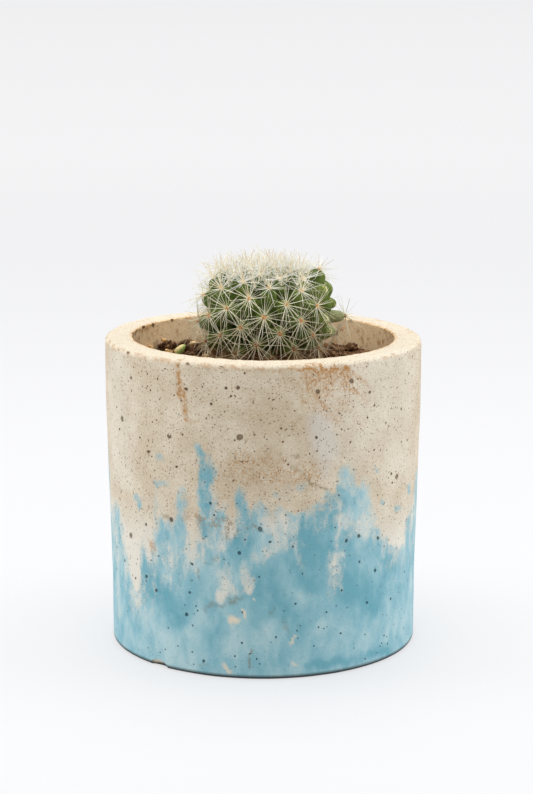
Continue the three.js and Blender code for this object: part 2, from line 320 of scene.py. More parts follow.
class Recipe:
    """Builds one material's nodes, from the coordinates to the shader."""

    def __init__(self, name: str) -> None:
        """Starts a material with a Principled shader.

        Args:
            name: The material's name.
        """
        self.material = bpy.data.materials.new(name)
        self.material.use_nodes = True
        self.nodes = self.material.node_tree.nodes
        self.links = self.material.node_tree.links
        self.shader = self.nodes["Principled BSDF"]
        self.place = self.nodes.new("ShaderNodeTexCoord").outputs["Object"]

    def feed(self, socket: Socket, value: object) -> None:
        """Links a socket, or sets its own value.

        Args:
            socket: The socket that is fed.
            value: Another node's output, a number or a colour.
        """
        if isinstance(value, Socket):
            self.links.new(value, socket)
        elif isinstance(value, tuple) and len(value) == 3 and socket.type == "RGBA":
            socket.default_value = (*value, 1)
        else:
            socket.default_value = value

    def stretched(self, scale: Triple, offset: Triple = (0, 0, 0)) -> Socket:
        """Object coordinates that are scaled along each axis.

        Args:
            scale: Scale along x, y and z.
            offset: Move along x, y and z.

        Returns:
            The coordinates.
        """
        node = self.nodes.new("ShaderNodeMapping")
        self.feed(node.inputs["Vector"], self.place)
        self.feed(node.inputs["Scale"], scale)
        self.feed(node.inputs["Location"], offset)
        return node.outputs["Vector"]

    def noise(self, feature: float, detail: float = 3, place: object = None, **more: float) -> Socket:
        """Cloud noise from 0 to 1.

        Args:
            feature: Size of one cloud.
            detail: Layers of finer detail.
            place: Coordinates, if not the plain ones.
            more: Further inputs of the noise node.

        Returns:
            The noise.
        """
        node = self.nodes.new("ShaderNodeTexNoise")
        self.feed(node.inputs["Vector"], place or self.place)
        self.feed(node.inputs["Scale"], 1 / feature)
        self.feed(node.inputs["Detail"], detail)
        for name, value in more.items():
            self.feed(node.inputs[name], value)
        return node.outputs["Fac"]

    def ragged(self, feature: float, reach: float) -> Socket:
        """Object coordinates pushed about by noise, for marks with uneven outlines.

        Args:
            feature: Size of the unevenness.
            reach: How far a point is pushed at most.

        Returns:
            The coordinates.
        """
        clouds = self.nodes.new("ShaderNodeTexNoise")
        self.feed(clouds.inputs["Vector"], self.place)
        self.feed(clouds.inputs["Scale"], 1 / feature)
        pushed = self.nodes.new("ShaderNodeVectorMath")
        pushed.operation = "MULTIPLY_ADD"
        self.feed(pushed.inputs[0], clouds.outputs["Color"])
        self.feed(pushed.inputs[1], (reach, reach, reach))
        self.feed(pushed.inputs[2], self.place)
        return pushed.outputs["Vector"]

    def cells(self, feature: float, place: object = None) -> bpy.types.Node:
        """Scattered dots: a Voronoi node whose Distance grows away from each dot.

        Args:
            feature: Mean distance between dots.
            place: Coordinates, if not the plain ones.

        Returns:
            The node.
        """
        node = self.nodes.new("ShaderNodeTexVoronoi")
        self.feed(node.inputs["Vector"], place or self.place)
        self.feed(node.inputs["Scale"], 1 / feature)
        return node

    def sum(self, kind: str, first: object, second: object = 0.5, clamp: bool = False) -> Socket:
        """One step of arithmetic.

        Args:
            kind: Blender's name for it, such as MULTIPLY.
            first: A number or an output.
            second: A number or an output.
            clamp: Whether the result is kept between 0 and 1.

        Returns:
            The result.
        """
        node = self.nodes.new("ShaderNodeMath")
        node.operation = kind
        node.use_clamp = clamp
        self.feed(node.inputs[0], first)
        self.feed(node.inputs[1], second)
        return node.outputs[0]

    def span(self, value: object, low: float, high: float, start: float = 0, end: float = 1) -> Socket:
        """A soft step.

        Args:
            value: What is mapped.
            low: The value that gives start.
            high: The value that gives end.
            start: Result at low and below.
            end: Result at high and above.

        Returns:
            The result.
        """
        node = self.nodes.new("ShaderNodeMapRange")
        node.interpolation_type = "SMOOTHSTEP"
        self.feed(node.inputs["Value"], value)
        for name, number in zip(("From Min", "From Max", "To Min", "To Max"), (low, high, start, end)):
            self.feed(node.inputs[name], number)
        return node.outputs["Result"]

    def painted(self, name: str) -> Socket:
        """The number that a piece carries at each point under this name.

        Args:
            name: The attribute's name.

        Returns:
            The number, as an output.
        """
        node = self.nodes.new("ShaderNodeAttribute")
        node.attribute_name = name
        return node.outputs["Fac"]

    def mix(self, share: object, first: object, second: object, blend: str = "MIX") -> Socket:
        """Two colours mixed.

        Args:
            share: How much of the second, from 0 to 1.
            first: A colour or an output.
            second: A colour or an output.
            blend: Blender's name for the way they mix.

        Returns:
            The colour.
        """
        node = self.nodes.new("ShaderNodeMix")
        node.data_type = "RGBA"
        node.blend_type = blend
        self.feed(node.inputs["Factor"], share)
        colours = [socket for socket in node.inputs if socket.type == "RGBA"]
        self.feed(colours[0], first)
        self.feed(colours[1], second)
        return next(socket for socket in node.outputs if socket.type == "RGBA")

    def bump(self, height: object, depth: float, strength: float = 1, over: object = None) -> Socket:
        """A bumped normal.

        Args:
            height: The relief, from 0 to 1.
            depth: What 1 stands for, in metres.
            strength: Strength of the bump.
            over: A normal that it adds to.

        Returns:
            The normal.
        """
        node = self.nodes.new("ShaderNodeBump")
        self.feed(node.inputs["Height"], height)
        self.feed(node.inputs["Distance"], depth)
        self.feed(node.inputs["Strength"], strength)
        if over is not None:
            self.feed(node.inputs["Normal"], over)
        return node.outputs["Normal"]

    def finish(
        self, colour: object, roughness: object, normal: object = None, **constants: object
    ) -> bpy.types.Material:
        """Feeds the shader.

        Args:
            colour: Base colour.
            roughness: Roughness.
            normal: A bumped normal, if any.
            constants: Further sockets, by name with spaces as underscores, set on the shader itself.

        Returns:
            The material.
        """
        self.feed(self.shader.inputs["Base Color"], colour)
        self.feed(self.shader.inputs["Roughness"], roughness)
        if normal is not None:
            self.feed(self.shader.inputs["Normal"], normal)
        for name, value in constants.items():
            self.shader.inputs[name.replace("_", " ")].default_value = value
        return self.material


@dataclass(frozen=True)
class CastConcrete:
    """Warm grey-beige cast concrete with a blue wash, pinholes, rust and dirt, painted shade in its holes
    and a painted shadow under its foot.
    """

    pale: Colour = (0.69, 0.61, 0.475)
    dark: Colour = (0.59, 0.495, 0.36)
    crest: Colour = (0.76, 0.67, 0.52)
    lime: Colour = (0.88, 0.81, 0.68)
    tan: Colour = (0.40, 0.275, 0.16)
    inside: Colour = (1.0, 0.73, 0.42)
    # painted shade: the dark brown that pinholes and pits in bare stone are darkened to
    hole_shade: Colour = (0.125, 0.062, 0.024)
    freckle: Colour = (0.36, 0.21, 0.09)
    veil: Colour = (0.78, 0.76, 0.68)
    blue_deep: Colour = (0.125, 0.365, 0.44)
    blue_mid: Colour = (0.245, 0.475, 0.54)
    blue_pale: Colour = (0.45, 0.62, 0.64)
    rust: Colour = (0.42, 0.185, 0.03)
    dirt: Colour = (0.20, 0.15, 0.07)
    skim: Colour = (0.62, 0.60, 0.565)
    # painted shade: the dark blue that pits under the wash are darkened to
    blue_hole_shade: Colour = (0.03, 0.09, 0.11)
    broken: Colour = (0.72, 0.64, 0.50)
    # painted shadow: the near-black that the bottom of the foot is darkened to, where the pot meets the
    # floor
    foot_shadow: Colour = (0.03, 0.035, 0.035)

    def material(self) -> bpy.types.Material:
        """Builds the finish from the pot's painted marks and from noise.

        Returns:
            The material.
        """
        r = Recipe("cast_concrete")
        mottling = r.noise(11 * MM, 5, Roughness=0.6)
        stone = r.mix(r.span(mottling, 0.35, 0.68), self.dark, self.pale)
        grain = r.noise(0.5 * MM, 3, Roughness=0.65)
        stone = r.mix(r.painted("crest"), stone, self.crest)
        stone = r.mix(r.painted("inside"), stone, self.inside)
        stone = r.mix(r.span(grain, 0.53, 0.74, 0, 0.75), stone, self.tan)
        stone = r.mix(r.span(grain, 0.46, 0.27, 0, 0.5), stone, self.lime)
        smears = r.noise(2.4 * MM, 5, r.stretched((1, 1, 1), (9, 0, 0)), Roughness=0.7)
        smudges = r.span(smears, 0.32, 0.7, 0.15, 1)
        stone = r.mix(r.sum("MULTIPLY", r.painted("tan"), smudges), stone, self.tan)
        freckles = r.sum("MULTIPLY", self.dots(r, ((1.1 * MM, 0.30), (0.65 * MM, 0.29))), 0.55)
        stone = r.mix(freckles, stone, self.freckle)
        stone = r.mix(r.sum("MULTIPLY", r.painted("skim"), 0.6), stone, self.skim)
        stone = r.mix(r.sum("MULTIPLY", r.painted("veil"), 0.7), stone, self.veil)
        wash = self.wash(r)
        coloured = r.mix(wash, stone, self.blue(r))
        coloured = self.stains(r, coloured)
        # Painted shade: fine dots darkened for air holes too small to cut, fainter on the crest, inside and
        # under the wash.
        pinholes = self.dots(r, ((1.9 * MM, 0.17), (1.2 * MM, 0.19), (0.8 * MM, 0.22)))
        pinholes = r.sum("MULTIPLY", pinholes, r.span(r.painted("crest"), 0.2, 1.0, 1, 0.25))
        pinholes = r.sum("MULTIPLY", pinholes, r.span(r.painted("inside"), 0.2, 0.8, 1, 0.25))
        coloured = r.mix(r.sum("MULTIPLY", pinholes, r.span(wash, 0, 1, 0.85, 0.16)), coloured, self.hole_shade)
        # Painted shade inside the cut holes: dark brown in bare stone, dark blue under the wash.
        hollow = r.painted("pit")
        pit_shade_colour = r.mix(wash, self.hole_shade, self.blue_hole_shade)
        coloured = r.mix(hollow, coloured, pit_shade_colour)
        coloured = r.mix(r.painted("chip"), coloured, self.broken)
        # Painted shadow along the bottom of the foot's rounding, where the pot meets the floor.
        coloured = r.mix(r.painted("foot_shadow"), coloured, self.foot_shadow)
        relief = r.sum("SUBTRACT", r.noise(0.8 * MM, 4), pinholes)
        normal = r.bump(relief, 0.12 * MM, 0.7, r.bump(r.noise(5 * MM, 3), 0.3 * MM, 0.5))
        return r.finish(coloured, r.span(grain, 0.2, 0.8, 0.66, 0.84), normal, Specular_IOR_Level=0.22)

    def wash(self, r: Recipe) -> Socket:
        """Where the wash lies: the painted amount, with edges frayed by streaks and grain.

        Args:
            r: The material's recipe.

        Returns:
            How much of the wash covers the stone, from 0 to 1.
        """
        streaks = r.noise(2.2 * MM, 4, r.stretched((1, 1, 0.5)), Distortion=0.6)
        blotches = r.noise(7 * MM, 3, r.stretched((1, 1, 0.7), (0, 5, 0)))
        streaky = r.span(streaks, 0.3, 0.7, -0.2, 0.2)
        blotchy = r.span(blotches, 0.3, 0.7, -0.12, 0.12)
        grains = r.span(r.noise(0.45 * MM, 3, Roughness=0.7), 0.3, 0.7, -0.14, 0.14)
        amount = r.painted("wash")
        uneven = r.sum("ADD", r.sum("ADD", streaky, blotchy), grains)
        uneven = r.sum("MULTIPLY", uneven, r.span(amount, 0.02, 0.25))
        return r.span(r.sum("ADD", amount, uneven), 0.0, 1.0, 0, 0.96)

    def blue(self, r: Recipe) -> Socket:
        """The wash's own colour: vertical streaks and clouds of thicker and thinner pigment.

        Args:
            r: The material's recipe.

        Returns:
            The colour.
        """
        streaks = r.noise(4.5 * MM, 5, r.stretched((1, 1, 0.6), (3, 0, 0)), Distortion=0.3)
        clouds = r.noise(13 * MM, 4, r.stretched((1, 1, 0.8), (0, 7, 0)), Distortion=0.3)
        thick = r.sum("ADD", r.sum("MULTIPLY", streaks, 0.5), r.sum("MULTIPLY", clouds, 0.5))
        thick = r.sum("ADD", thick, r.sum("MULTIPLY", r.noise(0.7 * MM, 3, Roughness=0.7), 0.14))
        thick = r.sum("ADD", thick, r.sum("MULTIPLY", r.painted("deep"), 0.2))
        light = r.mix(r.span(thick, 0.32, 0.62), self.blue_pale, self.blue_mid)
        return r.mix(r.span(thick, 0.52, 0.80), light, self.blue_deep)

    def stains(self, r: Recipe, under: Socket) -> Socket:
        """Rust and dirt, broken up by fine grain, and slanting hair cracks that rust has run into.

        Args:
            r: The material's recipe.
            under: The colour that is stained.

        Returns:
            The stained colour.
        """
        grit = r.sum("MULTIPLY", r.noise(0.32 * MM, 3, Roughness=0.75), r.noise(1.3 * MM, 4, Roughness=0.7))
        broken = r.span(grit, 0.19, 0.29, 0.15, 1)
        rusty = r.mix(r.sum("MULTIPLY", r.painted("rust"), broken), under, self.rust)
        folds = r.noise(0.9 * MM, 2, self.slanting(r), Distortion=0.3)
        ridge = r.sum("ABSOLUTE", r.sum("SUBTRACT", folds, 0.5))
        patchy = r.span(r.noise(2.6 * MM, 4, Roughness=0.7), 0.36, 0.56, 0.1, 1)
        patchy = r.sum("MULTIPLY", patchy, r.painted("cracks"))
        cracks = r.sum("MULTIPLY", r.span(ridge, 0.055, 0.012), patchy)
        rusty = r.mix(cracks, rusty, self.rust)
        return r.mix(r.sum("MULTIPLY", r.painted("dirt"), broken), rusty, self.dirt)

    def slanting(self, r: Recipe) -> Socket:
        """Coordinates drawn out along a slant that runs down the wall to the right.

        Args:
            r: The material's recipe.

        Returns:
            The coordinates.
        """
        turn = r.nodes.new("ShaderNodeMapping")
        r.feed(turn.inputs["Vector"], r.place)
        r.feed(turn.inputs["Rotation"], (math.radians(33), 0, math.radians(-25)))
        drawn = r.nodes.new("ShaderNodeMapping")
        r.feed(drawn.inputs["Vector"], turn.outputs["Vector"])
        r.feed(drawn.inputs["Rotation"], (0, math.radians(33), 0))
        r.feed(drawn.inputs["Scale"], (1, 1, 0.22))
        return drawn.outputs["Vector"]

    def dots(self, r: Recipe, sizes: Sequence[Pair]) -> Socket:
        """Scattered dots of several sizes, such as air holes too small to cut.

        Args:
            r: The material's recipe.
            sizes: For each size, the mean distance between dots and the largest dot's share of it.

        Returns:
            1 in a dot, 0 elsewhere.
        """
        total = None
        for feature, size in sizes:
            dots = r.cells(feature, r.ragged(0.5 * feature, 0.7 * feature))
            spread = r.nodes.new("ShaderNodeSeparateColor")
            r.links.new(dots.outputs["Color"], spread.inputs[0])
            reach = r.span(spread.outputs[0], 0.35, 1.0, 0, size)
            hole = r.sum("LESS_THAN", dots.outputs["Distance"], reach)
            total = hole if total is None else r.sum("MAXIMUM", total, hole)
        return total


@dataclass(frozen=True)
class PottingFinish:
    """Peaty potting mix: dark brown, with paler dry crumbs."""

    dark: Colour = (0.055, 0.024, 0.012)
    brown: Colour = (0.19, 0.095, 0.045)
    dry: Colour = (0.42, 0.25, 0.12)

    def material(self) -> bpy.types.Material:
        """Builds the finish.

        Returns:
            The material.
        """
        r = Recipe("potting_mix")
        clumps = r.noise(1.4 * MM, 4, Roughness=0.7)
        base = r.mix(r.span(clumps, 0.38, 0.62), self.dark, self.brown)
        dry_flecks = r.span(r.noise(0.7 * MM, 3), 0.55, 0.75, 0, 0.5)
        dryness = r.sum("ADD", r.painted("dry"), dry_flecks, clamp=True)
        colour = r.mix(dryness, base, self.dry)
        normal = r.bump(r.noise(0.5 * MM, 4, Roughness=0.7), 0.35 * MM, 0.9)
        return r.finish(colour, 0.95, normal, Specular_IOR_Level=0.1)


@dataclass(frozen=True)
class BarkFinish:
    """Pale golden bark and grit, browner in its cracks."""

    pale: Colour = (0.90, 0.60, 0.27)
    brown: Colour = (0.55, 0.29, 0.09)

    def material(self) -> bpy.types.Material:
        """Builds the finish.

        Returns:
            The material.
        """
        r = Recipe("bark")
        fibres = r.noise(0.6 * MM, 4, r.stretched((1, 0.4, 1)), Roughness=0.65)
        shade = r.sum("ADD", fibres, r.sum("MULTIPLY", r.painted("dry"), 0.2))
        colour = r.mix(r.span(shade, 0.32, 0.56), self.brown, self.pale)
        return r.finish(colour, 0.85, r.bump(fibres, 0.25 * MM, 0.8), Specular_IOR_Level=0.2)


@dataclass(frozen=True)
class FleshFinish:
    """Matt green cactus flesh: yellower on bare tips, with painted shade in the hollows and low down, corky
    at the foot.
    """

    name: str = "cactus_flesh"
    green: Colour = (0.070, 0.112, 0.018)
    light: Colour = (0.150, 0.205, 0.045)
    rubbed: Colour = (0.22, 0.27, 0.06)
    hoary: Colour = (0.56, 0.54, 0.33)
    fleck: Colour = (0.32, 0.37, 0.17)
    # painted shade: the near-black green that the hollows and the lower body are darkened to
    hollow: Colour = (0.014, 0.020, 0.005)
    tip: Colour = (0.68, 0.60, 0.30)
    cork: Colour = (0.27, 0.16, 0.08)

    def material(self) -> bpy.types.Material:
        """Builds the finish from the plant's painted values and noise.

        Returns:
            The material.
        """
        r = Recipe(self.name)
        mottling = r.noise(2.5 * MM, 4)
        skin = r.mix(r.span(mottling, 0.35, 0.68), self.green, self.light)
        # Painted shade in the hollows between tubercles and on the lower body.
        skin = r.mix(r.painted("depth"), skin, self.hollow)
        worn = r.span(r.noise(1.3 * MM, 4, Roughness=0.65), 0.34, 0.64, 0.2, 1.0)
        skin = r.mix(r.sum("MULTIPLY", r.painted("bare"), worn), skin, self.rubbed)
        fibres = r.noise(0.26 * MM, 4, r.stretched((0.6, 1, 1.2)), Roughness=0.75)
        hairs = r.span(fibres, 0.38, 0.64, 0.15, 0.9)
        skin = r.mix(r.sum("MULTIPLY", r.painted("hoary"), hairs), skin, self.hoary)
        flecks = r.span(r.noise(0.22 * MM, 2), 0.6, 0.72, 0, 0.35)
        skin = r.mix(flecks, skin, self.fleck)
        fraying = r.span(r.noise(0.7 * MM, 4, Roughness=0.65), 0.3, 0.7, -0.3, 0.3)
        frayed = r.sum("ADD", r.painted("tip"), fraying)
        skin = r.mix(r.span(frayed, 0.35, 0.8, 0, 0.85), skin, self.tip)
        corky = r.sum("ADD", r.painted("cork"), r.span(r.noise(1.5 * MM, 3), 0.3, 0.7, -0.3, 0.3))
        skin = r.mix(r.span(corky, 0.3, 0.7), skin, self.cork)
        coarseness = r.span(r.painted("bare"), 0, 0.7, 0.4, 1)
        pimples = r.sum("MULTIPLY", r.noise(0.8 * MM, 3, Roughness=0.6), coarseness)
        normal = r.bump(pimples, 0.3 * MM, 0.8, r.bump(r.noise(0.4 * MM, 3), 0.06 * MM, 0.6))
        return r.finish(
            skin, 0.65, normal,
            Specular_IOR_Level=0.08,
            Subsurface_Weight=0.1,
            Subsurface_Radius=(0.0012, 0.0016, 0.0006),
            Subsurface_Scale=1.0,
        )


@dataclass(frozen=True)
class SpineFinish:
    """Glassy white spines with a tawny base and tip."""

    name: str
    white: Colour
    tip: Colour
    fresh: Colour = (0.98, 0.97, 0.92)
    tip_share: float = 0.4
    old: Colour = (0.46, 0.31, 0.15)
    hair: Colour = (0.36, 0.37, 0.24)

    def material(self) -> bpy.types.Material:
        """Builds the finish: the painted value runs from 0 at the root to 1 at the point.

        Returns:
            The material.
        """
        r = Recipe(self.name)
        along = r.painted("along")
        shaft = r.mix(r.span(r.noise(3 * MM, 2), 0.4, 0.7, 0, 0.4), self.white, self.tip)
        shaft = r.mix(r.sum("MULTIPLY", r.painted("fresh"), 0.85), shaft, self.fresh)
        colour = r.mix(r.span(along, 0.5, 1.0, 0, self.tip_share), shaft, self.tip)
        colour = r.mix(r.span(along, 0.12, 0.0, 0, 0.5), colour, self.tip)
        colour = r.mix(r.sum("MULTIPLY", r.painted("age"), 0.75), colour, self.old)
        colour = r.mix(r.sum("MULTIPLY", r.painted("dull"), 0.5), colour, self.hair)
        return r.finish(colour, 0.45, Subsurface_Weight=0.35, Subsurface_Radius=(0.001, 0.001, 0.0008))


@dataclass(frozen=True)
class WoolFinish:
    """Felt at the areoles: cream on young ones, then orange-brown, and dark on old ones."""

    young: Colour = (0.88, 0.78, 0.55)
    ripe: Colour = (0.60, 0.29, 0.10)
    old: Colour = (0.24, 0.10, 0.04)

    def material(self) -> bpy.types.Material:
        """Builds the finish from the painted age.

        Returns:
            The material.
        """
        r = Recipe("areole_wool")
        aged = r.sum("ADD", r.painted("age"), r.span(r.noise(0.4 * MM, 3), 0.3, 0.7, -0.12, 0.12))
        colour = r.mix(r.span(aged, 0.1, 0.42), self.young, self.ripe)
        colour = r.mix(r.span(aged, 0.55, 1.0), colour, self.old)
        return r.finish(colour, 0.95, r.bump(r.noise(0.2 * MM, 2), 0.1 * MM, 0.8))


@dataclass(frozen=True)
class SweepFinish:
    """White studio paper."""

    white: Colour = (0.30, 0.30, 0.302)
    near_glow: float = 0.565
    far_glow: float = 0.665
    near: float = 0.15
    far: float = 1.6
    horizon_glow: float = -0.035
    horizon: Pair = (1.7, 5.5)

    def material(self) -> bpy.types.Material:
        """Builds the finish: it glows a little, and more far away, so that it stays near white.

        Returns:
            The material.
        """
        r = Recipe("studio_paper")
        tone = r.mix(r.noise(0.6, 2), self.white, tuple(0.985 * part for part in self.white))
        reach = r.nodes.new("ShaderNodeVectorMath")
        reach.operation = "LENGTH"
        r.feed(reach.inputs[0], r.place)
        glow = r.span(reach.outputs["Value"], self.near, self.far, self.near_glow, self.far_glow)
        glow = r.sum("ADD", glow, r.span(reach.outputs["Value"], *self.horizon, 0, self.horizon_glow))
        r.feed(r.shader.inputs["Emission Strength"], glow)
        return r.finish(tone, 0.7, Emission_Color=(0.985, 0.985, 1, 1))


# The pot


@dataclass(frozen=True)
class Mark:
    """A brush mark, drip or stain on the unrolled wall, as a bar with round ends.

    Places are (azimuth in degrees, height in mm), and widths are half the bar's thickness in mm.
    """

    start: Pair
    end: Pair
    width: float
    end_width: float | None = None
    strength: float = 1.0
    end_strength: float | None = None


class Layer(Enum):
    """What a mark on the pot's wall is made of."""

    WASH = "wash"
    BARE = "bare"
    DEEP = "deep"
    RUST = "rust"
    DIRT = "dirt"
    TAN = "tan"
    SKIM = "skim"
    CHIP = "chip"
    CRACKS = "cracks"
    VEIL = "veil"


# The wash's upper edge on the front, as (azimuth in degrees, height in mm)
WASH_EDGE = (
    (198, 49), (205, 46), (208, 40), (210, 33), (213, 27), (216, 21), (218, 24), (219, 36), (221, 46),
    (223, 45), (225, 38), (227, 45), (228, 56), (230, 57), (232, 50), (235, 49), (237, 54), (239, 60),
    (241, 60), (242, 50), (244, 40), (245.5, 43), (246.5, 60), (247.5, 70), (250, 69), (252, 66), (253, 62),
    (254, 56), (257, 56), (259, 51), (260.5, 56), (262, 62), (263.5, 57), (266, 54), (269, 58), (271, 56),
    (273, 53), (276, 56), (279, 53), (284, 53), (291, 53), (293, 56), (296, 58), (297, 64), (300, 66),
    (303, 65), (305, 60), (308, 63), (310, 62), (311, 58), (313, 50), (316, 46), (319, 42), (322, 39),
    (327, 37), (331, 35), (334, 40), (337, 45), (342, 48),
)

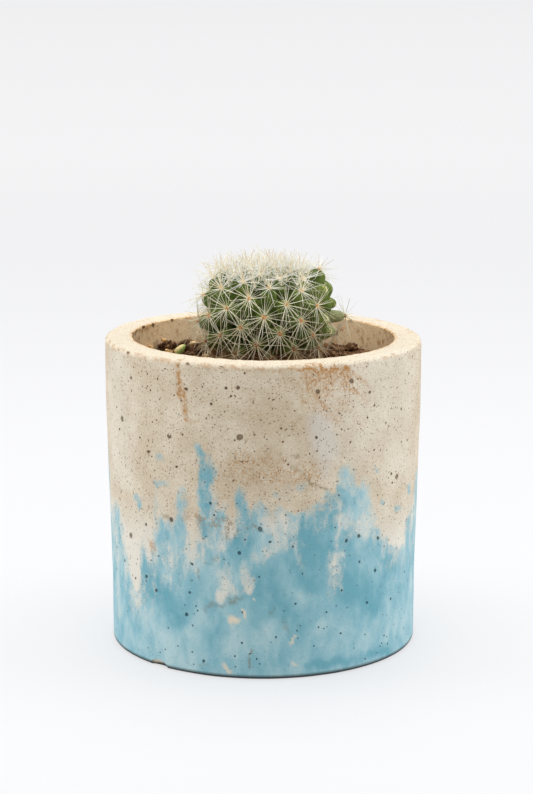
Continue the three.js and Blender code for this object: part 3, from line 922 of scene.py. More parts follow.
MARKS: dict[Layer, tuple[Mark, ...]] = {
    Layer.WASH: (
        Mark((249.3, 68.5), (250.8, 64.5), 1.8, 2.4, 0.9, 0.7), Mark((252, 60), (251.5, 50), 1, 1.4, 0.8),
        Mark((240.5, 58), (241, 54), 1, 1.2, 0.75, 0.5), Mark((262.2, 60.5), (263, 52), 0.8, 1.6, 0.85),
        Mark((285, 51), (294, 56), 1.6, 2, 0.85), Mark((298, 62), (301, 57), 1.8, 2.4, 0.45),
        Mark((229, 58.5), (234, 59.5), 1.2, 0.6, 0.8), Mark((230.5, 67.5), (231.5, 66.8), 1, 0.6, 0.7),
        Mark((246.2, 72), (247.2, 69.5), 0.7, 1.2), Mark((218, 52), (220, 50.5), 1.3, 0.8),
        Mark((275, 58), (278, 57), 0.9, 0.5, 0.6), Mark((279, 60), (285, 60.5), 0.9, 0.5, 0.6),
        Mark((317, 51.5), (319, 51.5), 0.8, 0.5), Mark((327, 48.3), (329.5, 48), 0.8, 0.5),
        Mark((313, 63), (315, 62), 0.7, 0.4, 0.6), Mark((337, 53), (338, 51), 1, 0.6),
    ),
    Layer.BARE: (
        Mark((214, 34), (217, 15), 2.8, 0.9, 0.58, 0.3), Mark((222, 43), (226, 30), 2, 0.8, 0.65, 0.3),
        Mark((231, 50), (236, 51), 2.2, 1.6, 0.5), Mark((235, 38), (237, 22), 2.2, 1.4, 0.35, 0.15),
        Mark((243.5, 51), (244, 34), 2, 1.2, 0.4, 0.15), Mark((259.5, 51.5), (258.7, 46.2), 1.6, 1.3, 0.75),
        Mark((258.7, 46.2), (255.4, 41.2), 1.3, 1.1, 0.6, 0.45),
        Mark((254.8, 41.5), (254.2, 36.4), 0.9, 0.8, 0.45, 0.35),
        Mark((256.8, 34.4), (255.8, 26.7), 1.7, 2.5, 0.5, 0.7),
        Mark((256.7, 27.4), (261, 28.3), 2.6, 1.9, 0.8, 0.6),
        Mark((263.6, 36.3), (264.6, 29.2), 1.1, 2.2, 0.55, 0.7),
        Mark((274.5, 49.5), (280, 42), 3.4, 2.4, 0.55, 0.45),
        Mark((281, 43), (284.5, 31), 1.2, 0.6, 0.5, 0.25), Mark((276, 42), (268, 38), 1.8, 1.2, 0.4),
        Mark((298, 48.5), (296.8, 41.5), 0.8, 1, 0.5, 0.55),
        Mark((296.8, 37), (296.3, 26), 2.2, 3, 0.6, 0.5), Mark((296.2, 25), (296, 20), 1.4, 0.6, 0.5, 0.3),
        Mark((301, 47), (309, 44.5), 2.8, 2.2, 0.45), Mark((256, 14), (262, 20), 0.6, 1.4, 0.35),
        Mark((287, 26), (293, 16), 0.8, 0.5, 0.2), Mark((328, 41), (334, 36), 2.2, 1.6, 0.75),
        Mark((194, 46), (197, 12), 5, 4, 0.45, 0.3), Mark((345, 44), (347, 14), 4, 3, 0.35, 0.2),
    ),
    Layer.DEEP: (
        Mark((249, 68), (250, 45), 3, 2), Mark((284, 47), (295, 54), 3, 2.5),
        Mark((286, 45), (287, 28), 3, 2, 0.8), Mark((222, 27), (238, 19), 4.5, 4, 0.9),
        Mark((262, 60), (263, 42), 2, 3.5, 0.8), Mark((298, 58), (294.5, 50), 1.8, 2.6, 0.9),
        Mark((303, 30), (316, 22), 5, 5, 0.8), Mark((286, 3.6), (300, 3.4), 0.6, 1.2, 0.9),
        Mark((300, 3.4), (322, 3.2), 1.2, 0.7), Mark((268, 30), (300, 36), 5, 6, 0.35),
        Mark((300, 36), (324, 28), 6, 5, 0.45), Mark((270, 28), (286, 21), 4, 3, 0.5),
        Mark((205, 22), (214, 12), 3, 3, 0.5),
    ),
    Layer.RUST: (
        Mark((238.6, 97), (241, 87), 0.7, 1.1, 1), Mark((240.6, 88), (243, 80.5), 1.1, 0.8, 0.9),
        Mark((243, 80.6), (246.5, 79.6), 0.6, 0.3, 0.5), Mark((282, 96.4), (301, 95.6), 0.5, 0.9, 1),
        Mark((288, 96.5), (294.5, 88), 1, 0.5, 0.6), Mark((295, 96.5), (305.5, 86), 1, 0.4, 0.6),
        Mark((300, 96), (309, 90), 0.8, 0.4, 0.55), Mark((286, 91), (295, 81), 0.6, 0.5, 0.45),
        Mark((284, 95), (290, 88), 0.5, 0.4, 0.45), Mark((287, 94), (291, 90), 2.2, 1.5, 0.5, 0.3),
        Mark((293, 93.5), (298, 90), 2.2, 1.2, 0.5, 0.3), Mark((254, 96.6), (284, 96.5), 0.3, 0.5, 0.55),
        Mark((286, 95.2), (300, 93.9), 1.2, 1.4, 0.7), Mark((226, 39.5), (227, 37.5), 1, 0.8, 0.6),
    ),
    Layer.DIRT: (
        Mark((251.4, 24.5), (249.4, 22.7), 0.5, 0.6, 0.6), Mark((249.4, 22.7), (249, 20.8), 0.6, 0.5, 0.6),
        Mark((250.6, 23.5), (255.1, 23.2), 0.5, 0.5, 0.5),
        Mark((255.5, 22.9), (258.8, 24.4), 0.6, 0.8, 0.55),
        Mark((258.8, 24.4), (260.7, 25.7), 0.8, 0.5, 0.6),
        Mark((260.3, 26.3), (262.8, 25.8), 0.6, 0.7, 0.5),
        Mark((252.9, 50.2), (257.3, 50.2), 0.5, 0.5, 0.6),
        Mark((252.2, 48.6), (254.4, 47.8), 0.7, 0.5, 0.4), Mark((256.9, 48), (258.7, 48.7), 0.5, 0.6, 0.7),
        Mark((257.6, 47), (256.9, 45.1), 0.6, 0.5, 0.5), Mark((260.1, 45.3), (260.8, 46.6), 0.5, 0.5, 0.6),
        Mark((263.7, 47.6), (265.8, 48.3), 0.3, 0.4, 0.6),
        Mark((265.8, 48.4), (267.5, 48.6), 0.4, 0.4, 0.75),
        Mark((267.5, 48.6), (268.6, 48), 0.4, 0.3, 0.75), Mark((246, 50), (250, 50.5), 0.6, 0.4, 0.5),
        Mark((247.8, 35.9), (249.7, 35.8), 0.3, 0.4, 0.6),
        Mark((245.4, 33.2), (246.6, 33.9), 0.3, 0.4, 0.5),
        Mark((246.5, 32.6), (246.9, 31.1), 0.3, 0.3, 0.5),
        Mark((252.5, 36.7), (254.2, 37.1), 0.5, 0.4, 0.6),
        Mark((272.5, 21.8), (274.2, 22.4), 0.4, 0.3, 0.5), Mark((277, 19), (279.5, 15), 0.7, 0.4, 0.3),
        Mark((265.3, 9.5), (265.3, 4), 0.4, 0.25, 0.8), Mark((231, 49), (235, 48.6), 0.7, 0.5, 0.5),
        Mark((240, 49), (243.5, 49.5), 0.6, 0.4, 0.5), Mark((279, 67.5), (283.5, 65.5), 0.5, 0.5, 0.6),
        Mark((283.5, 65.2), (286.5, 61.8), 0.35, 0.4, 0.6),
        Mark((286.5, 61.8), (289.6, 60.4), 0.7, 0.5, 0.9),
        Mark((289.6, 60.4), (293.5, 58.4), 0.3, 0.3, 0.8),
        Mark((280.5, 70.4), (282.5, 70.6), 0.5, 0.4, 0.7), Mark((246, 2.6), (250, 3.4), 0.5, 0.3, 0.5),
    ),
    Layer.TAN: (
        Mark((262, 64), (284, 67), 6.5, 5.5, 0.4), Mark((268, 84), (284, 80), 5, 3.5, 0.25),
        Mark((240, 52), (232, 46), 4, 3, 0.3), Mark((206, 88), (212, 80), 5, 4, 0.3),
    ),
    Layer.SKIM: (
        Mark((289.5, 80), (292.5, 71), 3.2, 3.8, 0.9), Mark((293, 70), (292, 64), 3.2, 1.5, 0.6),
    ),
    Layer.CHIP: (
        Mark((258.8, 18.7), (261, 19.1), 1.2, 0.9), Mark((262.8, 22.3), (263.5, 19.8), 0.25, 0.4),
        Mark((266.7, 25.3), (266.4, 24.3), 0.3, 0.25), Mark((256.5, 3.1), (257.6, 2.7), 0.9, 0.6, 0.8),
        Mark((281.6, 13.6), (279.6, 10.2), 0.45, 0.3, 0.8), Mark((281, 4.6), (282.5, 4.2), 0.7, 0.4, 0.7),
    ),
    Layer.CRACKS: (
        Mark((288, 94), (299, 85), 4.5, 3, 0.9, 0.7), Mark((297, 94), (306, 86), 3.5, 2, 0.9, 0.6),
        Mark((285, 87), (297, 80), 2.5, 1.5, 0.6), Mark((278, 93), (284, 90), 2.5, 2.5, 0.4),
        Mark((302, 82), (308, 78), 2, 1.5, 0.35), Mark((262, 68), (287, 63), 4, 3.5, 0.7),
        Mark((246, 50), (258, 47), 2, 2, 0.5),
    ),
    Layer.VEIL: (
        Mark((322, 90), (328, 66), 12, 10, 0.35, 0.3), Mark((301, 88), (306, 72), 7, 7, 0.3),
        Mark((206, 88), (206, 62), 8, 8, 0.4),
    ),
}

# The larger air holes on the front, as (azimuth in degrees, height in mm, width in mm)
LARGE_PITS = (
    (262, 76, 1.9), (235.5, 74.4, 1.6), (209.5, 76, 1.8), (213, 39.4, 1.9), (225.4, 68.2, 1.1),
    (269, 47.6, 1.5), (326.4, 58.4, 1.6), (323.4, 57, 0.9), (322.6, 60, 0.9), (306.4, 42.8, 1.3),
    (301, 42, 1.1), (289, 89.4, 1.5), (302, 91.6, 1.5), (310, 87.3, 1.1), (312.3, 83, 0.8),
    (252, 85.7, 0.9), (242.7, 89.6, 1), (261.5, 91, 1.2), (257.3, 90.8, 0.9), (259, 88.4, 0.8),
    (227.4, 24.4, 1.2), (241.2, 18.8, 1.3), (222.3, 28, 1.1), (215.4, 26, 0.9), (207.3, 30, 1),
    (315, 30.4, 1.3), (311.2, 20.7, 1), (299.3, 12.7, 0.8), (325, 19.2, 0.9), (272.4, 43.6, 0.9),
    (261.6, 40, 1), (235.5, 48.2, 1.3), (216.4, 90, 0.9), (316, 40.6, 1.2), (307, 34.5, 0.8),
    (288.6, 75.4, 0.9), (205, 79, 0.9), (207, 72.3, 0.9), (238.3, 65.2, 0.9), (221, 72, 0.8),
    (276.8, 74.6, 0.7), (309, 79.6, 0.8), (328, 79.6, 1), (301.8, 72.8, 0.8), (312.6, 69, 0.8),
    (329, 69, 0.8), (251.3, 55, 0.9), (252.6, 51.4, 0.7), (248, 4.7, 1), (242.6, 26, 0.9),
    (243.8, 35.2, 0.9), (223, 44.8, 1),
)


# Brown spots on the inside wall and its edge, as (azimuth in degrees, height in mm, width in mm)
INNER_SPOTS = (
    (38.4, 92, 1), (34, 92.1, 0.9), (24.6, 92.2, 1.5), (20.5, 92.8, 1.2), (11.1, 95.6, 1.3),
    (34.6, 89.6, 0.8), (45.4, 89, 0.8), (155.8, 96.2, 1.3), (159.8, 97.5, 1.4), (151.3, 94.4, 0.9),
    (18.6, 96.9, 1.6), (7.2, 97.1, 1.8), (14.2, 94.5, 1), (23.9, 95.3, 0.9), (29.3, 93.7, 0.7),
    (152.9, 97.2, 1.2), (2, 97.3, 1.6), (12, 97.4, 1.5), (164, 97.2, 1), (148, 97, 0.9),
    (157.5, 97, 1.5), (154.2, 96.4, 1.2), (161.5, 96.4, 1.3), (165, 94.8, 1.2),
)


@dataclass
class ConcretePot:
    """The cast-concrete pot: a thick-walled cylinder with a slight taper, worn edges and air holes."""

    foot_radius: float = 48.6 * MM
    taper_foot: float = 22 * MM
    band_foot: float = 78 * MM
    wall: float = 8.6 * MM
    floor: float = 10 * MM
    draft: float = 1.6 * MM
    lip: float = 1.6 * MM
    inner_lip: float = 0.5 * MM
    rim_tilt: Pair = (-0.008, -0.003)
    foot_rounding: float = 0.9 * MM
    drain_radius: float = 4.5 * MM
    soil_level: float = 88.5 * MM
    row: float = 0.7 * MM
    steps: int = 440
    small_pits: int = 640
    back_pits: int = 38
    lip_nicks: int = 26
    back_span: Pair = (-10, 195)
    back_rise: Pair = (12, 93)
    back_pit_width: Triple = (0.7, 1.9, 0.9)
    small_pit_reach: Triple = (0.18, 0.44, 0.24)
    foot_chip_place: Pair = (228, 0.4)
    foot_chip_facing: Triple = (-0.5, -0.6, -0.6)
    foot_chip_size: Triple = (3.9 * MM, 2.2 * MM, 1.7 * MM)
    foot_chip_half: float = 7
    finish: CastConcrete = field(default_factory=CastConcrete)

    def __post_init__(self) -> None:
        """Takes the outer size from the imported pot."""
        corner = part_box("pot")[1]
        self.radius = corner.x
        self.height = corner.z

    def outer_radius(self, height: np.ndarray | float) -> np.ndarray | float:
        """The outside radius at a height."""
        heights = (self.taper_foot, self.band_foot)
        return np.interp(height, heights, (self.foot_radius, self.radius))

    def inner_radius(self, height: float) -> float:
        """The inside radius at a height."""
        return self.radius - self.wall - self.draft * (self.height - height) / (self.height - self.floor)

    def outline(self) -> list[Vector]:
        """The wall's section in the XZ plane, from the drain hole round to the drain hole.

        Returns:
            The section's corners.
        """
        inner_rim = self.inner_radius(self.height) + self.inner_lip
        below_soil = self.soil_level - 3 * MM
        foot = self.foot_rounding
        corners: list[Pair] = [(self.drain_radius, 0)]
        corners += self.arc(self.foot_radius - foot, foot, foot, -90, 0)
        corners += [(self.foot_radius, self.taper_foot), (self.radius, self.band_foot)]
        corners += self.arc(self.radius - self.lip, self.height - self.lip, self.lip, 0, 90)
        corners += self.arc(inner_rim, self.height - self.inner_lip, self.inner_lip, 90, 180)
        corners += [(self.inner_radius(below_soil), below_soil)]
        corners += [(self.inner_radius(self.floor), self.floor), (self.drain_radius, self.floor)]
        return [Vector((radius, 0, height)) for radius, height in corners]

    def arc(self, radius: float, height: float, rounding: float, start: float, end: float) -> list[Pair]:
        """Points of a rounded corner, between two angles in degrees.

        Args:
            radius: The arc's centre, from the pot's axis.
            height: The centre's height.
            rounding: Radius of the arc.
            start: First angle.
            end: Last angle.

        Returns:
            The points, as radius and height.
        """
        angles = np.radians(np.linspace(start, end, 7))
        circle = zip(np.cos(angles), np.sin(angles))
        return [(radius + rounding * out, height + rounding * up) for out, up in circle]

    def step_length(self, low: Vector, high: Vector) -> float:
        """How finely a stretch of the section is divided: coarse where soil or the floor hides it.

        Args:
            low: Where the stretch starts.
            high: Where it ends.

        Returns:
            Length of a step.
        """
        inside = max(low.x, high.x) < self.inner_radius(self.height)
        hidden = max(low.z, high.z) < (self.soil_level if inside else 0.1 * MM)
        return 8 * MM if hidden else self.row

    def turned(self) -> Piece:
        """Draws the section point by point and spins it.

        Returns:
            The plain pot.
        """
        outline = self.outline()
        bpy.ops.mesh.primitive_plane_add(size=MM)
        pot = take("pot_concrete")
        with Editing(pot) as edit:
            edit.everything()
            bpy.ops.mesh.merge(type="CENTER")
            bpy.ops.transform.translate(value=outline[0])
            for low, high in zip(outline, outline[1:]):
                pieces = max(1, round((high - low).length / self.step_length(low, high)))
                stride = (high - low) / pieces
                for _ in range(pieces):
                    bpy.ops.mesh.extrude_region_move(TRANSFORM_OT_translate={"value": stride})
            edit.everything()
            bpy.ops.mesh.spin(steps=self.steps, angle=FULL_TURN, center=(0, 0, 0), axis=(0, 0, 1))
            edit.everything()
            bpy.ops.mesh.remove_doubles(threshold=1e-6)
            self.close_drain(edit)
            edit.everything()
            bpy.ops.mesh.normals_make_consistent(inside=False)
        return pot

    def close_drain(self, edit: Editing) -> None:
        """Bridges the wall of the drain hole, between its rim below and its rim above."""
        edit.points(lambda point: math.hypot(point.x, point.y) < self.drain_radius + 0.1 * MM)
        bpy.ops.mesh.bridge_edge_loops()

    def build(self) -> Piece:
        """Models the pot, wears it, cuts its holes and paints its marks.

        Returns:
            The finished pot.
        """
        pot = self.turned()
        lip = pot.vertex_groups.new(name="lip")
        rows = places_of(pot)
        lip.add([int(i) for i in np.flatnonzero(rows[:, 2] > self.height - 2.2 * self.lip)], 1.0, "REPLACE")
        roughen(pot, 16 * MM, 0.22 * MM)
        roughen(pot, 2.2 * MM, 0.4 * MM, "lip")
        self.tilt_rim(pot)
        cutter, hollows = self.hole_cutter()
        modify(pot, "BOOLEAN", object=cutter, operation="DIFFERENCE", solver="MANIFOLD")
        discard(cutter)
        self.dress(pot, hollows)
        return pot

    def tilt_rim(self, pot: Piece) -> None:
        """Leaves the rim a little out of level, as hand casting does.

        Args:
            pot: The pot.
        """
        rows = places_of(pot)
        share = step_up(rows[:, 2], self.band_foot, self.height)
        rows[:, 2] += share * (rows[:, 0] * self.rim_tilt[0] + rows[:, 1] * self.rim_tilt[1])
        move_points(pot, rows)

    def on_wall(self, azimuth: float, height: float) -> Vector:
        """A point of the outer wall, from degrees and millimetres.

        Args:
            azimuth: Degrees round the pot.
            height: Millimetres above the ground.

        Returns:
            The point.
        """
        angle = math.radians(azimuth)
        radius = float(self.outer_radius(height * MM))
        return Vector((radius * math.cos(angle), radius * math.sin(angle), height * MM))

    def hole_cutter(self) -> tuple[Piece, np.ndarray]:
        """Joins a rough ball for each air hole, nick and chip.

        Returns:
            The cutter, and each hole's centre and reach as rows of four.
        """
        rng = random.Random(7)
        bpy.ops.mesh.primitive_ico_sphere_add(subdivisions=2, radius=1)
        ball = take("hole_model")
        roughen(ball, 1.4, 0.3)
        pits = list(LARGE_PITS)
        for _ in range(self.back_pits):
            azimuth = rng.uniform(*self.back_span)
            height = rng.uniform(*self.back_rise)
            pits.append((azimuth, height, rng.triangular(*self.back_pit_width)))
        holes = [(self.on_wall(azimuth, height), 0.55 * width * MM) for azimuth, height, width in pits]
        for _ in range(self.small_pits):
            place = self.on_wall(rng.uniform(0, 360), rng.uniform(2, self.height / MM - 2))
            holes.append((place, rng.triangular(*self.small_pit_reach) * MM))
        for _ in range(self.lip_nicks):
            outward = rng.random() < 0.45
            radius = self.radius if outward else self.inner_radius(self.height)
            angle = rng.uniform(0, FULL_TURN)
            height = self.height - rng.uniform(0, 0.6) * MM
            place = Vector((radius * math.cos(angle), radius * math.sin(angle), height))
            holes.append((place, rng.uniform(0.25, 0.6) * MM))
        matrices = []
        for place, size in holes:
            outward = Vector((place.x, place.y, 0)).normalized()
            width = size * rng.uniform(0.85, 1.25)
            rise = size * rng.uniform(0.85, 1.15)
            flat = Matrix.Diagonal((width, rise, 0.8 * size, 1))
            matrices.append(aimed(place, outward, rng.uniform(0, FULL_TURN)) @ flat)
        chip = aimed(self.on_wall(*self.foot_chip_place), Vector(self.foot_chip_facing))
        chip = chip @ Matrix.Diagonal((*self.foot_chip_size, 1))
        cutter = joined("hole_cutter", copied(ball, [*matrices, chip]))
        discard(ball)
        return cutter, np.array([(*place, size * 1.35) for place, size in holes])

    def dress(self, pot: Piece, hollows: np.ndarray) -> None:
        """Paints the pot's marks and gives it its finish.

        Args:
            pot: The pot.
            hollows: Each hole's centre and reach.
        """
        rows = places_of(pot)
        azimuth = np.degrees(np.arctan2(rows[:, 1], rows[:, 0])) % 360
        radius = np.hypot(rows[:, 0], rows[:, 1])
        depth = self.outer_radius(rows[:, 2]) - radius
        # Painted shade inside the cut holes, fading in from 0.02 mm below the outer wall, darker for small
        # holes than for large ones.
        pit = np.zeros(len(rows))
        shade = np.interp(hollows[:, 3], (0.5 * MM, 1.2 * MM), (0.9, 0.6))
        for hollow, darkness in zip(hollows, shade):
            near = np.linalg.norm(rows - hollow[:3], axis=1) < hollow[3]
            pit[near] = np.maximum(pit[near], darkness)
        paint(pot, "pit", pit * step_up(depth, 0.02 * MM, 0.26 * MM))
        outside = step_up(radius, self.radius - 4 * MM, self.radius - 2.5 * MM)
        across = azimuth + np.degrees(cloud(rows, 4 * MM, 5) * 0.9 * MM / self.radius)
        up = rows[:, 2] / MM + 1.6 * cloud(rows * (1, 1, 0.5), 3 * MM, 31)
        blur = {Layer.BARE: 1.1, Layer.WASH: 1.0, Layer.DEEP: 1.4, Layer.SKIM: 0.8, Layer.VEIL: 3.0}
        marks = self.all_marks()
        cover = {layer: self.cover(group, across, up, blur.get(layer, 0)) for layer, group in marks.items()}
        softness = 1.2 + 3.6 * step_up(cloud(rows, 9 * MM, 3), -0.3, 0.5)
        margin = self.wash_margin(across, up)
        wash = 0.66 * step_up(margin / softness, -0.5, 1) + 0.34 * step_up(margin, 2, 12)
        wash += 0.3 * step_up(margin, 9, 24)
        thin = 0.3 * step_up(margin, 0.5, 4) + 0.14 * step_up(margin, 5, 14)
        wash = np.maximum(wash, 0.7 * cover[Layer.WASH])
        wash = np.maximum(wash, 0.85 * cover[Layer.DEEP] * step_up(margin, -0.8, 0.8))
        wash = np.maximum(wash * (1 - cover[Layer.BARE]), thin)
        paint(pot, "wash", wash * outside)
        low = step_up(-up, -56, -34)
        paint(pot, "veil", np.maximum.reduce([step_up(margin, -1, 5), low, cover[Layer.VEIL]]) * outside)
        paint(pot, "crest", step_up(rows[:, 2], self.height - 1.3 * MM, self.height - 0.5 * MM))
        paint(pot, "inside", step_up(-radius, -self.radius + 7.6 * MM, -self.radius + 8.5 * MM) * 0.8)
        # Painted shadow: the foot is darkened fully below 0.65 mm and fades out by 1.4 mm, where the pot
        # meets the floor.
        paint(pot, "foot_shadow", (1 - step_up(rows[:, 2], 0.65 * MM, 1.4 * MM)) * 0.97)
        beside = np.abs(azimuth - self.foot_chip_place[0]) < self.foot_chip_half
        chipped = np.maximum(cover[Layer.CHIP], beside & (depth > 0.25 * MM) & (up < 6))
        paint(pot, "chip", chipped * outside)
        cover[Layer.DEEP] = cover[Layer.DEEP] - 0.2 * step_up(-up, -24, -13) * (1 - cover[Layer.DEEP])
        for layer in (Layer.DEEP, Layer.DIRT, Layer.TAN, Layer.SKIM, Layer.CRACKS):
            paint(pot, layer.value, cover[layer] * outside)
        paint(pot, "rust", np.maximum(cover[Layer.RUST] * outside, self.lip_stain(rows, radius)))
        pot.data.materials.clear()
        pot.data.materials.append(self.finish.material())
        smooth(pot, 35)
        hand_over(pot, ["pot"])

    def all_marks(self) -> dict[Layer, list[Mark]]:
        """The front's marks, and others drawn at random in their manner round the back.

        Returns:
            Each layer's marks.
        """
        rng = random.Random(12)
        marks = {layer: list(group) for layer, group in MARKS.items()}
        for step in range(24):
            azimuth = 8 * step + rng.uniform(-3, 3)
            high = rng.uniform(38, 56)
            drop = Mark(
                (azimuth, high), (azimuth + rng.uniform(-1, 3), high - rng.uniform(8, 26)),
                rng.uniform(0.8, 2.4), rng.uniform(0.4, 1.0), rng.uniform(0.3, 0.75), 0.2,
            )
            marks[Layer.BARE].append(drop)
            islet = rng.uniform(52, 70)
            foot = (azimuth + 4.6, islet - rng.uniform(0.5, 4))
            fleck = Mark((azimuth + 4, islet), foot, 0.6, 1.1, rng.uniform(0.5, 0.9))
            marks[Layer.WASH].append(fleck)
            low = rng.uniform(10, 46)
            pool = Mark((azimuth, low), (azimuth + 2, low - 7), 2.2, 3.6, rng.uniform(0.4, 1))
            marks[Layer.DEEP].append(pool)
            if step % 3 == 0:
                stain = rng.uniform(56, 92)
                marks[Layer.TAN].append(Mark((azimuth, stain), (azimuth + 10, stain - 4), 4.5, 3.5, 0.35))
                marks[Layer.CRACKS].append(Mark((azimuth, stain), (azimuth + 9, stain - 6), 3.0, 2.0, 0.6))
            if step % 4 == 1:
                foot = (azimuth + 1.5, rng.uniform(80, 92))
                marks[Layer.RUST].append(Mark((azimuth, 96.6), foot, 0.9, 0.4, 0.6, 0.3))
                marks[Layer.RUST].append(Mark((azimuth - 4, 96.5), (azimuth + 9, 96.4), 0.4, 0.6, 0.6))
                dirt = rng.uniform(20, 50)
                end = (azimuth + rng.uniform(1, 4), dirt + 0.7)
                marks[Layer.DIRT].append(Mark((azimuth, dirt), end, 0.5, 0.4, 0.6))
        return marks

    def lip_stain(self, rows: np.ndarray, radius: np.ndarray) -> np.ndarray:
        """Brown stain along the lip's two worn edges and down the inside wall.

        Args:
            rows: The pot's points.
            radius: Each point's distance from the axis.

        Returns:
            Strength of the stain at each point.
        """
        mouth = self.inner_radius(self.height)
        outer_edge = np.hypot(radius - self.radius, rows[:, 2] - self.height)
        inner_edge = np.hypot(radius - mouth, rows[:, 2] - self.height)
        outer = np.exp(-(((outer_edge - 0.7 * MM) / (0.5 * MM)) ** 2))
        outer *= step_up(cloud(rows, 4 * MM, 13), -0.15, 0.4)
        inner = np.exp(-((inner_edge / (0.9 * MM)) ** 2))
        inner *= step_up(cloud(rows, 5 * MM, 29), -0.45, 0.15)
        blots = step_up(cloud(rows * (1, 1, 0.7), 2.2 * MM, 41), 0.3, 0.55)
        spots = (radius < mouth) * blots
        for azimuth, height, width in INNER_SPOTS:
            angle = math.radians(azimuth)
            reach = self.inner_radius(height * MM)
            place = np.array((reach * math.cos(angle), reach * math.sin(angle), height * MM))
            gap = np.linalg.norm(rows - place, axis=1)
            spots = np.maximum(spots, 1.2 * step_up(0.7 * width * MM - gap, -0.3 * MM, 0.3 * MM))
        return np.maximum.reduce([0.6 * outer, 0.75 * inner, 0.75 * spots])

    def wash_margin(self, across: np.ndarray, up: np.ndarray) -> np.ndarray:
        """How far each point lies inside the wash: drawn on the front, in random tongues on the back.

        Args:
            across: Each point's azimuth in degrees.
            up: Each point's height in millimetres.

        Returns:
            Millimetres from the wash's edge, negative above it.
        """
        rng = random.Random(19)
        back = [(WASH_EDGE[-1][0] + 3.9 * (i + 1), rng.triangular(33, 70, 50)) for i in range(54)]
        edge = [*WASH_EDGE, *back, (WASH_EDGE[0][0] + 360, WASH_EDGE[0][1])]
        angles, heights = zip(*edge)
        turned = np.where(across < angles[0], across + 360, across)
        below = np.interp(turned, angles, heights) > up
        degree = math.radians(self.radius / MM)
        place = np.stack([turned * degree, up], axis=1)
        nearest = np.full(len(up), 1e3)
        for (angle, height), (next_angle, next_height) in zip(edge, edge[1:]):
            start = np.array((angle * degree, height))
            run = np.array((next_angle * degree, next_height)) - start
            share = np.clip((place - start) @ run / (run @ run), 0, 1)
            nearest = np.minimum(nearest, np.linalg.norm(place - start - share[:, None] * run, axis=1))
        return np.where(below, nearest, -nearest)

    def cover(self, marks: Sequence[Mark], across: np.ndarray, up: np.ndarray, blur: float) -> np.ndarray:
        """How strongly a layer's marks cover each point.

        Args:
            marks: The layer's marks.
            across: Each point's azimuth in degrees.
            up: Each point's height in millimetres.
            blur: Further softness of the marks' edges, in millimetres.

        Returns:
            A number from 0 to 1 for each point.
        """
        degree = math.radians(self.radius / MM)
        place = np.stack([across * degree, up], axis=1)
        total = np.zeros(len(up))
        for mark in marks:
            start = np.array((mark.start[0] * degree, mark.start[1]))
            run = np.array((mark.end[0] * degree, mark.end[1])) - start
            share = np.clip((place - start) @ run / max(run @ run, 1e-9), 0, 1)
            gap = np.linalg.norm(place - start - share[:, None] * run, axis=1)
            width = mark.width + share * ((mark.end_width or mark.width) - mark.width)
            half = 0.5 * width.mean()
            end_strength = mark.strength if mark.end_strength is None else mark.end_strength
            strength = mark.strength + share * (end_strength - mark.strength)
            total = np.maximum(total, strength * step_up(width - gap, -half - blur, half + 0.4 * blur))
        return total


# The potting mix and what lies on it


# The larger clods at the back, as (x, y, radius) in mm
CLODS = ((-31.4, 21.3, 3.0), (-25.0, 20.8, 3.1), (-20.9, 16.0, 2.7), (28.5, 20.5, 2.2))


